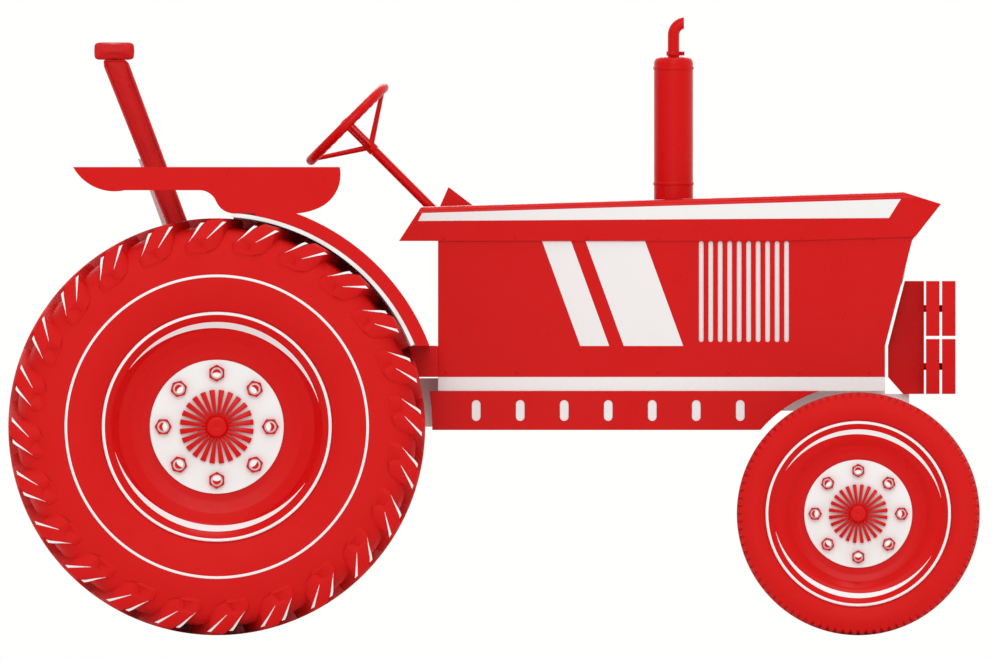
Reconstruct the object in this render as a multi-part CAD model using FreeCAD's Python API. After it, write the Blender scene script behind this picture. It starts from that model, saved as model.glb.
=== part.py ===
import FreeCAD, Part
import os
from math import acos, asin, cos, pi, radians, sin, sqrt, tan

vec = FreeCAD.Vector

# A row-crop farm tractor. X points to its front, Y to its left and Z up.
# Lengths are in millimetres and angles in degrees, and places are measured from the middle of the
# rear axle. At the end every piece is moved, so that the origin lies on the ground in the middle.

# Fits and gaps
running_fit = 0.05
seat_gap = 0.3
turning_gap = 3.0

# Wheels
wheelbase = 2566
rear_tyre_radius = 834
rear_tyre_width = 460
rear_track = 1660
rear_rim_radius = 460
rear_disc_radius = 268
rear_cap_radius = 148
rear_nut_width = 60
rear_dish = 110
rear_shaft_radius = 45
lug_count = 24
lug_height = 40
lug_width = 50
lug_foot_width = 66
lug_sweep = 88
lug_lean = 42
lug_reach = 83
front_tyre_radius = 486
front_tyre_width = 230
front_track = 1580
front_rim_radius = 371
front_disc_radius = 216
front_cap_radius = 118
front_nut_width = 48
front_dish = 44
front_shaft_radius = 28
wheel_nut_count = 8
wheel_nut_height = 24
flute_count = 24
flute_gap = 16
barrel_radius = 84
barrel_depth = 60
disc_thickness = 12
rim_sheet = 10
rim_drop = 62
rim_lip = 9
rim_dish = 26
rim_dish_drop = 70

# Front axle and steering
axle_pivot_rise = 214
steering_rise = 108
kingpin_inset = 150
kingpin_radius = 30
boss_radius = 55
beam_height = 110
beam_depth = 96
beam_belly = 16
steering_arm = 130
steering_plate = 24
tie_rod_radius = 12
tie_eye_radius = 25
tie_eye_height = 28
tie_pin_radius = 11
trunnion_radius = 60
trunnion_half = 165
pivot_pin_radius = 32
ear_thickness = 36
ear_half_width = 90
bolster_half_width = 150
bolster_room = 50
nose_depth = 65

# Frame
rail_bottom = -13
rail_top = 143
rail_half_width = 300
rail_thickness = 12
rail_rear_gap = 28
rail_front_gap = 29
rail_front_setback = 140
slot_count = 7
slot_first_gap = 153
slot_last_gap = 472
slot_width = 35
slot_height = 84
slot_plate_depth = 2
slot_plate_thickness = 4
rail_pad_length = 60
rail_pad_height = 70
engine_half_width = 200
engine_setback = 447
engine_length = 680
engine_height = 566
head_height = 120
bell_length = 430
tunnel_half_width = 170
case_front = 349
case_rear = -261
case_half_width = 230
case_top = 290
case_bottom = -214
axle_tube_radius = 150
axle_tube_end_radius = 95
axle_tube_inset = 240

# Hood and panels
body_bottom = 199
sill_height = 323
panel_top = 743
cowl_rear = 885
hood_rear_height = 879
hood_front_height = 939
hood_nose_height = 891
hood_rear_overhang = 156
hood_rear_top_overhang = 68
hood_nose_reach = 331
hood_top_reach = 179
panel_top_reach = 215
panel_front_reach = 107
hood_half_width = 304
hood_sheet = 8
hood_edge_radius = 24
panel_thickness = 6
panel_rise = 30
stripe_depth = 3
hood_stripe_depth = 2
stripe_lean = 153
narrow_stripe_setback = 1265
narrow_stripe_width = 116
wide_stripe_setback = 1091
wide_stripe_width = 238
louvre_count = 10
louvre_setback = 628
louvre_pitch = 37.9
louvre_width = 18.8
louvre_bottom = 339
screen_thickness = 4
screen_margin = 20
visor_half_width = 150
visor_height = 76
visor_length = 132

# Grille and lamps
grille_bar_count = 13
grille_bar_width = 14
grille_depth = 26
grille_frame = 24
lamp_radius = 78
lamp_spacing = 280
lamp_height = 600
lamp_depth = 60

# Exhaust
muffler_radius = 78
muffler_setback = 739
muffler_top = 1479
muffler_edge_radius = 26
neck_radius = 35
tail_radius = 23
tail_wall = 3
tail_height = 160
tail_bend = 50
tail_reach = 42

# Operator's place
platform_rear = 209
platform_sheet = 12
platform_skirt = 124
fender_inset = 52
fender_outset = 180
fender_sheet = 8
fender_gap = 24
fender_band = 53
fender_top_rise = 128
fender_skirt = 93
fender_drop = 58
fender_front_reach = 492
fender_rear_reach = 575
wall_tuck = 14
wall_top_setback = 67
wall_rear_reach = 430
seat_half_width = 240
seat_front = 349
cushion_length = 400
seat_pan_height = 682
seat_pan_sheet = 16
seat_pan_inset = 40
seat_pan_reach = 140
seat_foot_half = 150
seat_foot_thickness = 24
seat_column_gap = 5
seat_column_length = 215
seat_column_half = 90
spine_low = 80
spine_high = 400
spine_foot = 40
spine_sheet = 14
spine_half_width = 45
cushion_height = 124
back_base = 726
back_top = 1471
back_depth = 98
back_lean = 21.6
back_top_rear = -459
roll_height = 64
roll_depth = 164
roll_overhang = 20

# Pedals and levers
pedal_setback = 110
pedal_height = 168
pedal_lean = 84
pedal_arm_width = 24
pedal_arm_half = 8
pedal_half_width = 36
pedal_pitch = 80
brake_spacing = 270
clutch_spacing = 230
gear_setback = 260
gear_spacing = 60
gear_lean = 50
gear_height = 330
hitch_lever_inset = 60
hitch_lever_spacing = 330
hitch_lever_lean = 70
hitch_lever_height = 420
lever_radius = 8
lever_boot_radius = 26
lever_boot_height = 18
knob_radius = 24

# Steering wheel and column
column_foot_setback = 30
column_length = 470
column_root = 57
steering_rim_radius = 205
steering_tube_radius = 20
steering_dish = 123
steering_hub_radius = 30
spoke_radius = 8
column_radius = 18.5
column_shaft_radius = 10
column_bore_depth = 120

# Weights
bracket_reach = 263
bracket_bottom = 131
bracket_half_width = 200
body_gap = 12
weight_count = 7
weight_gap = 10
weight_thickness = 54
weight_height = 220
weight_half_width = 350
weight_bolt_radius = 14

# Hitch
link_pivot_x = 69
link_pivot_z = -274
link_pivot_half = 250
link_ball_half = 410
link_length = 800
link_half_height = 28
link_half_thickness = 10
link_pin_radius = 16
link_pin_reach = 30
link_eye_radius = 36
hanger_gap = 25
hanger_half_length = 40
hanger_drop = 30
ball_half_width = 18
ball_radius = 38
ball_bore_radius = 14.35
lift_pivot_z = 226
lift_arm_length = 400
lift_arm_half = 326
lift_arm_thickness = 30
lift_arm_root = 30
lift_arm_tip = 22
lift_hub_radius = 50
lift_shaft_reach = 20
lift_rod_half = 361
lift_rod_radius = 11
lift_sleeve_radius = 18
lift_sleeve_half = 90
lift_eye_radius = 26
lift_eye_thickness = 24
lift_pin_radius = 12
lift_shaft_radius = 32
drawbar_rear = -711
drawbar_front = 9
drawbar_top = -376
drawbar_thickness = 38
drawbar_half_width = 38
drawbar_pin_inset = 40
drawbar_stem_length = 140
drawbar_stem_half = 60
drawbar_pin_radius = 16
power_shaft_radius = 17.5
power_shaft_z = -94
power_shaft_length = 90
top_link_z = 111
top_link_gap = 52
top_link_pin_radius = 12.75

# Places that follow from the sizes
front_axle_x = wheelbase
front_axle_z = front_tyre_radius - rear_tyre_radius
axle_pivot_z = front_axle_z + axle_pivot_rise
linkage_z = axle_pivot_z + steering_rise
kingpin_half = front_track / 2 - kingpin_inset
engine_front = front_axle_x - engine_setback
engine_rear = engine_front - engine_length
bell_rear = engine_rear - bell_length
axle_tube_end = rear_track / 2 - axle_tube_inset
panel_front = front_axle_x + panel_front_reach
panel_top_front = front_axle_x + panel_top_reach
fender_inner = rear_track / 2 - rear_tyre_width / 2 - fender_inset
fender_outer = rear_track / 2 + fender_outset
platform_half_width = fender_inner - seat_gap
panel_outer = hood_half_width - hood_sheet - seat_gap
panel_inner = panel_outer - panel_thickness
muffler_x = front_axle_x - muffler_setback
steering_x = cowl_rear - column_foot_setback - column_length / sqrt(2)
steering_height = hood_rear_height + column_length / sqrt(2)
length = rear_tyre_radius + wheelbase + front_tyre_radius
origin = vec(rear_tyre_radius - length / 2, 0, rear_tyre_radius)


def box(x0, x1, y0, y1, z0, z1):
    return Part.makeBox(x1 - x0, y1 - y0, z1 - z0, vec(x0, y0, z0))


def rod(radius, start, end):
    along = end - start
    return Part.makeCylinder(radius, along.Length, start, along)


def cone(start_radius, end_radius, start, end):
    along = end - start
    return Part.makeCone(start_radius, end_radius, along.Length, start, along)


def polygon(points):
    return Part.Face(Part.makePolygon(points + points[:1]))


def outline_face(steps, place):
    # A step is a corner, or a pair of corners for an arc through the first to the second.
    edges = []
    here = place(*steps[0])
    for step in steps[1:] + steps[:1]:
        if isinstance(step[0], tuple):
            via, end = [place(*corner) for corner in step]
            edges.append(Part.Arc(here, via, end).toShape())
        else:
            end = place(*step)
            if not end.isEqual(here, 0.001):
                edges.append(Part.makeLine(here, end))
        here = end
    return Part.Face(Part.Wire(edges))


def side_prism(steps, y0, y1):
    # The corners are (x, z).
    return outline_face(steps, lambda x, z: vec(x, y0, z)).extrude(vec(0, y1 - y0, 0))


def front_prism(steps, x0, along):
    # The corners are (y, z).
    return outline_face(steps, lambda y, z: vec(x0, y, z)).extrude(along)


def turned(section, x, z):
    # The section holds (y, radius) corners, turned about an axle along Y.
    face = polygon([vec(x, y, z + r) for y, r in section])
    return face.revolve(vec(x, 0, z), vec(0, 1, 0), 360)


def across(shape):
    return shape.mirror(vec(0, 0, 0), vec(0, 1, 0))


def both_sides(shape):
    return Part.makeCompound([shape, across(shape)])


def joined(shapes):
    return shapes[0].fuse(shapes[1:]).removeSplitter()


def slot(x, bottom, top, width, y0, y1):
    # An upright slot with round ends.
    r = width / 2
    return side_prism([
        (x - r, bottom + r), ((x, bottom), (x + r, bottom + r)),
        (x + r, top - r), ((x, top), (x - r, top - r))], y0, y1)


def skinned(rings, closed):
    # A solid of flat faces through rings of corners.
    pairs = list(zip(rings, rings[1:]))
    if closed:
        pairs.append((rings[-1], rings[0]))
    faces = []
    for near, far in pairs:
        for i in range(len(near)):
            k = (i + 1) % len(near)
            faces.append(polygon([near[i], near[k], far[k]]))
            faces.append(polygon([near[i], far[k], far[i]]))
    if not closed:
        faces += [polygon(rings[0]), polygon(rings[-1])]
    solid = Part.Solid(Part.Shell(faces))
    if solid.Volume < 0:
        solid.reverse()
    return solid


# Wheels, made for the left side

class Wheel:
    def __init__(self, x, z, tyre_radius, tyre_width, track, rim, disc, cap, nut, dish):
        self.x = x
        self.z = z
        self.tyre_radius = tyre_radius
        self.half_width = tyre_width / 2
        self.middle = track / 2
        self.rim = rim
        self.disc = disc
        self.cap = cap
        self.nut = nut
        self.back = track / 2 + dish
        self.face = self.back + disc_thickness
        self.front = self.face + disc_thickness

    def at(self, radius, angle, y):
        return vec(self.x + radius * cos(angle), y, self.z + radius * sin(angle))


rear_wheel = Wheel(0, 0, rear_tyre_radius, rear_tyre_width, rear_track, rear_rim_radius,
                   rear_disc_radius, rear_cap_radius, rear_nut_width, rear_dish)
front_wheel = Wheel(front_axle_x, front_axle_z, front_tyre_radius, front_tyre_width, front_track,
                    front_rim_radius, front_disc_radius, front_cap_radius, front_nut_width, front_dish)


def rim_seat(wheel):
    # The rim's outer face from its well to its outer flange, where the tyre sits.
    half = wheel.half_width * 0.84
    return [(half * 0.35, wheel.rim - rim_drop), (half - 14, wheel.rim - rim_drop * 0.42), (half, wheel.rim)]


def faceted_ring(wheel, half_section, sides):
    # A ring of flat facets. Its radii are true at the middles of the facets.
    stretch = 1 / cos(pi / sides)
    section = half_section + [(-y, r) for y, r in reversed(half_section)]
    rings = []
    for i in range(sides):
        a = 2 * pi * (i + 0.5) / sides
        rings.append([wheel.at(r * stretch, a, wheel.middle + y) for y, r in section])
    return skinned(rings, True).removeSplitter()


def tyre_section(wheel, tread, crown_drop, shoulder):
    half = wheel.half_width
    wall = tread - wheel.rim
    bead = [(y, r + seat_gap) for y, r in rim_seat(wheel)]
    return bead + [
        (half * 0.98, wheel.rim + wall * 0.3), (half, wheel.rim + wall * 0.52),
        (half * 0.93, tread - crown_drop - shoulder), (half * 0.8, tread - crown_drop),
        (half * 0.3, tread)]


def lug(side, angle):
    # A bar from beside the tread's middle out and down over the shoulder, where it trails.
    # Each section: way out, share of the sweep, top radius and foot radius.
    wheel = rear_wheel
    half = wheel.half_width
    top = wheel.tyre_radius
    carcass = top - lug_height
    sections = (
        (-half * 0.06, 0.0, top, carcass - 14),
        (half * 0.86, 1.0, top - 4, carcass - 50),
        (half, 1.0, top - lug_reach, top - lug_reach - 50))
    rings = []
    for out, share, high, low in sections:
        ring = []
        for r, half_bar in ((high, lug_width / 2), (high, -lug_width / 2),
                            (low, -lug_foot_width / 2), (low, lug_foot_width / 2)):
            run = -share * lug_sweep - (top - r) * tan(radians(lug_lean)) + half_bar - lug_width / 2
            ring.append(wheel.at(r, angle - run / top, wheel.middle + side * out))
        rings.append(ring)
    return skinned(rings, False)


def rear_tyre():
    carcass = faceted_ring(rear_wheel, tyre_section(rear_wheel, rear_tyre_radius - lug_height, 26, 46), lug_count)
    step = 2 * pi / lug_count
    lugs = []
    for i in range(lug_count):
        lugs.append(lug(1, (i + 0.5) * step))
        lugs.append(lug(-1, i * step))
    return carcass.fuse(lugs)


def front_tyre():
    return faceted_ring(front_wheel, tyre_section(front_wheel, front_tyre_radius, 9, 24), 28)


def wheel_rim(wheel):
    # A rolled rim and the dished disc that carries it.
    right = rim_seat(wheel)
    left = [(-y, r) for y, r in reversed(right)]
    half = wheel.half_width * 0.84
    well = wheel.rim - rim_drop - rim_sheet
    ledge = wheel.rim - rim_drop * 0.42 - rim_sheet
    bore = barrel_radius + seat_gap
    back = wheel.back - wheel.middle
    face = wheel.face - wheel.middle
    foot = wheel.rim - rim_dish_drop
    pocket = (half * 0.35 + (half * 0.65 - 6) * 0.8, well + (ledge - well) * 0.8)
    inner = [
        (half + rim_lip, wheel.rim), (half + rim_lip, wheel.rim - 14), (half - 6, ledge),
        (face + rim_dish, foot), (face + 6, (foot + wheel.disc + 30) / 2), (face, wheel.disc + 30), (face, bore),
        (back, bore), (back, wheel.disc + 26), (face - 5, (foot + wheel.disc + 34) / 2),
        (face + rim_dish - rim_sheet, foot + 6), pocket, (half * 0.35, well), (-half * 0.35, well),
        (-half + 6, ledge), (-half - rim_lip, wheel.rim - 14), (-half - rim_lip, wheel.rim)]
    return turned([(wheel.middle + y, r) for y, r in left + right + inner], wheel.x, wheel.z)


def hub_cap(wheel):
    # A thick round plate, with a wedge open between each two flutes.
    gap = flute_gap / 2 / wheel.cap
    core = wheel.cap * 0.31
    points = []
    for i in range(flute_count):
        a = 2 * pi * i / flute_count
        points.append(wheel.at(core, a, wheel.front))
        points.append(wheel.at(wheel.cap, a + gap, wheel.front))
        points.append(wheel.at(wheel.cap, a + 2 * pi / flute_count - gap, wheel.front))
    return polygon(points).extrude(vec(0, 26, 0))


def wheel_nut(wheel, angle):
    # A nut with a corner away from the wheel's middle, and the stud in its recess.
    middle = wheel.at(wheel.disc * 0.8, angle, wheel.front)
    corner = wheel.nut / sqrt(3)
    top = vec(0, wheel_nut_height, 0)
    hexagon = polygon([
        middle + vec(corner * cos(angle + k * pi / 3), 0, corner * sin(angle + k * pi / 3))
        for k in range(6)]).extrude(top)
    recess = rod(wheel.nut * 0.4, middle + top * 0.7, middle + top)
    return joined([hexagon.cut(recess), rod(wheel.nut * 0.31, middle, middle + top)])


def wheel_hub(wheel, bore):
    # The flange on the wheel's disc, with the nuts, the fluted cap and the barrel behind it.
    body = turned([
        (wheel.back - barrel_depth, bore), (wheel.back - barrel_depth, barrel_radius),
        (wheel.face, barrel_radius), (wheel.face, wheel.disc), (wheel.front - 3, wheel.disc),
        (wheel.front, wheel.disc - 3), (wheel.front, bore)], wheel.x, wheel.z)
    nuts = [wheel_nut(wheel, 2 * pi * i / wheel_nut_count) for i in range(wheel_nut_count)]
    boss = cone(wheel.cap * 0.36, wheel.cap * 0.26, wheel.at(0, 0, wheel.front), wheel.at(0, 0, wheel.front + 38))
    return joined([body, hub_cap(wheel), boss] + nuts)


def rear_rim():
    return wheel_rim(rear_wheel)


def front_rim():
    return wheel_rim(front_wheel)


def rear_hub():
    inner_end = vec(0, case_half_width + 60, 0)
    shaft = rod(rear_shaft_radius, inner_end, vec(0, rear_wheel.front, 0))
    return joined([wheel_hub(rear_wheel, rear_shaft_radius), shaft])


def front_hub():
    return wheel_hub(front_wheel, front_shaft_radius + running_fit)


# Frame

def engine_block():
    # One plain block for the engine, with its head.
    block = box(engine_rear, engine_front, -engine_half_width, engine_half_width, 0, engine_height)
    half = engine_half_width * 0.6
    head = box(engine_rear + 30, engine_front - 30, -half, half, engine_height, engine_height + head_height)
    return joined([block, head])


def transmission_housing():
    # The bell behind the engine, the narrow tunnel and the rear case with rounded lower corners.
    top = body_bottom - 5
    bell = box(bell_rear, engine_rear, -engine_half_width, engine_half_width, 0, top)
    tunnel = box(case_front, bell_rear, -tunnel_half_width, tunnel_half_width, 0, top)
    case = side_prism([
        (case_front, case_bottom + 80), (case_front, case_top), (case_rear + 50, case_top),
        ((case_rear + 15, case_top - 15), (case_rear, case_top - 50)), (case_rear, case_bottom + 60),
        ((case_rear + 18, case_bottom + 18), (case_rear + 60, case_bottom)),
        (case_front - 80, case_bottom)], -case_half_width, case_half_width)
    body = joined([bell, tunnel, case])
    wide = case_half_width + 1
    body = body.cut(rod(rear_shaft_radius + 20, vec(0, -wide, 0), vec(0, wide, 0)))
    return body.cut(rod(lift_shaft_radius + running_fit, vec(link_pivot_x, -wide, lift_pivot_z),
                        vec(link_pivot_x, wide, lift_pivot_z)))


def rear_axle_housings():
    start = vec(0, case_half_width, 0)
    end = vec(0, axle_tube_end, 0)
    flange = rod(axle_tube_radius, start, start + vec(0, 26, 0))
    tube = cone(axle_tube_radius - 16, axle_tube_end_radius, start, end)
    collar = rod(axle_tube_end_radius + 14, end - vec(0, 30, 0), end)
    return both_sides(joined([flange, tube, collar]).cut(rod(rear_shaft_radius + running_fit, start, end)))


def front_bolster():
    # The casting between the rails. Two ears under it carry the axle's pivot pin.
    half = bolster_half_width
    bottom = linkage_z + steering_plate / 2 + tie_eye_height + bolster_room
    arm_half = rail_half_width - rail_thickness
    nose_bottom = bracket_bottom - nose_depth
    ear_gap = trunnion_half + turning_gap
    nose_end = front_axle_x + ear_gap + ear_thickness
    parts = [
        box(engine_front, panel_front, -half, half, bottom, body_bottom),
        box(engine_front, engine_front + 190, -arm_half, arm_half, rail_top - 27, body_bottom),
        box(front_axle_x + 60, nose_end, -half, half, min(bottom, nose_bottom), bracket_bottom)]
    for x in (front_axle_x - ear_gap - ear_thickness, front_axle_x + ear_gap):
        parts.append(box(x, x + ear_thickness, -ear_half_width, ear_half_width, axle_pivot_z, bracket_bottom))
        parts.append(rod(ear_half_width, vec(x, 0, axle_pivot_z), vec(x + ear_thickness, 0, axle_pivot_z)))
    reach = ear_gap + ear_thickness + 12
    parts.append(rod(pivot_pin_radius, vec(front_axle_x - reach, 0, axle_pivot_z),
                     vec(front_axle_x + reach, 0, axle_pivot_z)))
    return joined(parts)


def rail_slots(y0, y1):
    # The row of upright slots in a rail, or the plates that close them.
    middle = (rail_bottom + rail_top) / 2
    first = cowl_rear + slot_first_gap
    pitch = (front_axle_x - slot_last_gap - first) / (slot_count - 1)
    return [
        slot(first + i * pitch, middle - slot_height / 2, middle + slot_height / 2, slot_width, y0, y1)
        for i in range(slot_count)]


def side_rails():
    # The ends follow the tyres, and a row of slots runs between them.
    inner = rail_half_width - rail_thickness
    plate = box(0, front_axle_x - rail_front_setback, inner, rail_half_width, rail_bottom, rail_top)
    for x, z, radius in ((0, 0, rear_tyre_radius + rail_rear_gap),
                         (front_axle_x, front_axle_z, front_tyre_radius + rail_front_gap)):
        plate = plate.cut(rod(radius, vec(x, inner, z), vec(x, rail_half_width, z)))
    for hole in rail_slots(inner, rail_half_width):
        plate = plate.cut(hole)
    middle = (rail_bottom + rail_top) / 2
    low = middle - rail_pad_height / 2
    pads = [
        box(x, x + rail_pad_length, engine_half_width, inner, low, low + rail_pad_height)
        for x in (bell_rear + 109, engine_rear + 40, engine_front - 110)]
    return both_sides(joined([plate] + pads))


# Hood and panels. The top line falls from the nose to the rear.

hood_rear_top = cowl_rear - hood_rear_top_overhang
hood_front_top = front_axle_x + hood_top_reach
hood_nose = front_axle_x + hood_nose_reach


def hood_form(inset):
    # The whole body of the hood, or the room inside it.
    half = hood_half_width - inset
    radius = hood_edge_radius - inset
    start = cowl_rear - hood_rear_overhang
    run = hood_nose - start
    rise = (hood_front_height - hood_rear_height) / (hood_front_top - hood_rear_top)
    top = hood_rear_height - inset - (hood_rear_top - start) * rise
    floor = panel_top - 2 * hood_edge_radius
    bend = radius * (1 - sqrt(0.5))
    bar = front_prism([
        (-half, floor), (-half, top - radius), ((-half + bend, top - bend), (-half + radius, top)),
        (half - radius, top), ((half - bend, top - bend), (half, top - radius)), (half, floor)],
        start, vec(run, 0, run * rise))
    foot = panel_top - inset
    high = hood_front_height + 50
    slope = (hood_rear_overhang - hood_rear_top_overhang) / (hood_rear_height - panel_top)
    rear = start + inset * 1.3
    ends = side_prism([
        (rear, foot), (rear + slope * (high - foot), high), (hood_front_top, high),
        (hood_front_top, hood_front_height - inset), (hood_nose - 2 * inset, hood_nose_height - inset * 0.6),
        (panel_top_front - inset * 1.3, foot)], -half, half)
    return bar.common(ends)


def hood_stripe():
    return side_prism([
        (hood_rear_top + 4, panel_top + 112), (hood_front_top - 8, hood_front_height - 28),
        (hood_front_top - 56, panel_top + 92), (hood_rear_top - 12, panel_top + 80)],
        hood_half_width - hood_stripe_depth, hood_half_width)


def hood():
    shell = hood_form(0).cut(hood_form(hood_sheet))
    shell = shell.cut(both_sides(hood_stripe()))
    return shell.cut(rod(neck_radius + 8, vec(muffler_x, 0, panel_top), vec(muffler_x, 0, muffler_top)))


def panel_stripe(setback, width, y0, y1):
    x = front_axle_x - setback
    return side_prism([
        (x, panel_top), (x + width, panel_top), (x + width + stripe_lean, sill_height),
        (x + stripe_lean, sill_height)], y0, y1)


def slanted_stripes(outer):
    inner = panel_outer - stripe_depth
    return [panel_stripe(narrow_stripe_setback, narrow_stripe_width, inner, outer),
            panel_stripe(wide_stripe_setback, wide_stripe_width, inner, outer)]


def side_panels():
    top = panel_top + panel_rise
    panel = side_prism([
        (cowl_rear, top), (panel_top_front - panel_rise, top), (panel_top_front - panel_rise, panel_top),
        (panel_top_front, panel_top), (panel_front, sill_height), (panel_front, body_bottom),
        (cowl_rear, body_bottom)], panel_inner, panel_outer)
    for stripe in slanted_stripes(panel_outer + 1):
        panel = panel.cut(stripe)
    for i in range(louvre_count):
        x = front_axle_x - louvre_setback + i * louvre_pitch
        panel = panel.cut(slot(x, louvre_bottom, panel_top, louvre_width, panel_inner, panel_outer))
    return both_sides(panel)


def side_stripes():
    # White inlays in the panels and hood, a sill under each panel, and plates in the rails' slots.
    sill = box(cowl_rear, panel_front, panel_outer - stripe_depth, panel_outer, rail_top, body_bottom)
    outer = rail_half_width - slot_plate_depth
    plates = rail_slots(outer - slot_plate_thickness, outer)
    return both_sides(Part.makeCompound(slanted_stripes(panel_outer) + [hood_stripe(), sill] + plates))


def grille_screens():
    # A plate behind the louvres.
    start = front_axle_x - louvre_setback - louvre_pitch
    end = start + louvre_pitch * (louvre_count + 1)
    back = panel_inner - seat_gap
    return both_sides(box(start, end, back - screen_thickness, back, louvre_bottom - screen_margin, panel_top))


def grille_place(share, back):
    # A place part of the way up the sloping front, and some way behind it.
    run = panel_top_front - panel_front
    rise = panel_top - sill_height
    slant = sqrt(run ** 2 + rise ** 2)
    return (panel_front + run * share - back * rise / slant, sill_height + rise * share + back * run / slant)


def grille_slab(low, high, near, far, y0, y1):
    return side_prism([
        grille_place(low, near), grille_place(high, near), grille_place(high, far), grille_place(low, far)],
        y0, y1)


def lamp(side, radius, depth):
    share = (lamp_height - sill_height) / (panel_top - sill_height)
    ends = [grille_place(share, back) for back in (3, 3 + depth)]
    start, end = [vec(x, side * lamp_spacing / 2, z) for x, z in ends]
    return rod(radius, start, end)


def headlamps():
    return Part.makeCompound([lamp(side, lamp_radius, lamp_depth) for side in (-1, 1)])


def front_grille():
    # Upright bars in a frame, with a screen behind them and a plain apron below.
    half = panel_inner
    opening = half - grille_frame
    frame = grille_slab(0, 1, 2, 2 + grille_depth, -half, half)
    frame = frame.cut(grille_slab(0.05, 0.94, 0, 4 + grille_depth, -opening, opening))
    pitch = 2 * opening / (grille_bar_count + 1)
    parts = [frame]
    for i in range(grille_bar_count):
        y = pitch * (i + 1) - opening
        parts.append(grille_slab(0.03, 0.96, 7, 1 + grille_depth, y - grille_bar_width / 2, y + grille_bar_width / 2))
    parts.append(grille_slab(0, 1, grille_depth, grille_depth + 6, -half, half))
    parts.append(box(panel_front - 34, panel_front - 2, -half, half, body_bottom, sill_height + 8))
    grille = joined(parts)
    for side in (-1, 1):
        grille = grille.cut(lamp(side, lamp_radius + seat_gap, lamp_depth))
    return grille


def cowl():
    # The wall between the engine and the platform.
    return box(cowl_rear, cowl_rear + 20, -panel_inner, panel_inner, body_bottom, panel_top + panel_rise)


def hood_outside():
    form = hood_form(0)
    form.translate(vec(0, 0, seat_gap))
    return form


def visor():
    x = cowl_rear + 8
    top = hood_rear_height
    body = side_prism([
        (x, top - 10), (x, top + 4), (x + 34, top + visor_height + 4), (x + visor_length, top + 6),
        (x + visor_length, top - 10)], -visor_half_width, visor_half_width)
    return body.cut(hood_outside())


# Exhaust

def muffler():
    body = Part.makeCylinder(muffler_radius, muffler_top - panel_top, vec(muffler_x, 0, panel_top))
    top_edges = [edge for edge in body.Edges if edge.BoundBox.ZMin > muffler_top - 1]
    body = body.makeFillet(muffler_edge_radius, top_edges).cut(hood_outside())
    body = body.common(box(0, front_axle_x, -hood_half_width, hood_half_width, hood_rear_height, muffler_top))
    neck = rod(neck_radius, vec(muffler_x, 0, engine_height + head_height), vec(muffler_x, 0, hood_front_height + 50))
    return joined([body, neck])


def exhaust_pipe():
    # A hollow pipe, bent forward at its top.
    top = muffler_top + tail_height
    low = vec(muffler_x, 0, muffler_top)
    high = vec(muffler_x, 0, top - tail_radius - tail_bend)
    end = vec(muffler_x + tail_bend, 0, top - tail_radius)
    via = end - vec(tail_bend * sqrt(0.5), 0, tail_bend * (1 - sqrt(0.5)))
    path = Part.Wire([Part.makeLine(low, high), Part.Arc(high, via, end).toShape()])
    pipe, room = [
        path.makePipeShell([Part.Wire(Part.makeCircle(radius, low, vec(0, 0, 1)))], True, True)
        for radius in (tail_radius, tail_radius - tail_wall)]
    keep = box(muffler_x - tail_bend, muffler_x + tail_reach, -tail_bend, tail_bend, muffler_top, top + 1)
    return pipe.cut(room).common(keep)


# Operator's place

def platform():
    half = platform_half_width
    bottom = sill_height - platform_skirt
    parts = [
        box(platform_rear, cowl_rear, -half, half, sill_height - platform_sheet, sill_height),
        box(cowl_rear - 10, cowl_rear, -half, half, bottom, sill_height)]
    for y in (-half, half - 10):
        parts.append(box(platform_rear, cowl_rear, y, y + 10, bottom, sill_height))
    parts.append(box(platform_rear + 20, case_front, -tunnel_half_width, tunnel_half_width, case_top, sill_height))
    return joined(parts)


band_inner = rear_tyre_radius + fender_gap
band_outer = band_inner + fender_band
fender_top = band_outer + fender_top_rise
fender_flat = fender_top - fender_skirt
band_end = radians(80)


def on_arc(radius, angle):
    return (radius * cos(angle), radius * sin(angle))


def band_steps(inner, outer):
    # A band about the rear axle, from the platform's height to inside the flat top.
    starts = [asin(sill_height / r) for r in (inner, outer)]
    middles = [(start + band_end) / 2 for start in starts]
    return [
        on_arc(outer, starts[1]), (on_arc(outer, middles[1]), on_arc(outer, band_end)), on_arc(inner, band_end),
        (on_arc(inner, middles[0]), on_arc(inner, starts[0]))]


def flat_top():
    # The shell over the tyre: a top, a curved front end and deep sides, open below.
    low = band_outer - fender_drop
    front = fender_front_reach
    rear = -fender_rear_reach
    s = fender_sheet
    body = side_prism([
        (rear, fender_top), (front, fender_top), ((front - 3, fender_top - 73), (front - 65, fender_top - 154)),
        ((front - 119, fender_top - 177), (front - 180, low)), (67, low),
        ((25, low + 14), (-2, fender_flat - 46)), ((-28, fender_flat - 13), (-72, fender_flat)),
        (rear + 208, fender_flat), ((rear + 61, fender_flat + 27), (rear, fender_top))],
        fender_inner, fender_outer)
    room = side_prism([
        (rear + 2 * s, fender_top - s), (front - s, fender_top - s),
        ((front - 3 - s, fender_top - 73), (front - 65 - s, fender_top - 154 + s / 2)),
        ((front - 119, fender_top - 177 + s), (front - 180, low + s)), (67, low + s), (67, 0), (rear, 0)],
        fender_inner + s, fender_outer - s)
    return body.cut(room)


def fenders():
    skin = side_prism(band_steps(band_outer - fender_sheet, band_outer), fender_inner, fender_outer)
    lip = side_prism(band_steps(band_inner, band_outer), fender_outer - fender_sheet, fender_outer)
    return both_sides(joined([flat_top(), skin, lip]))


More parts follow.
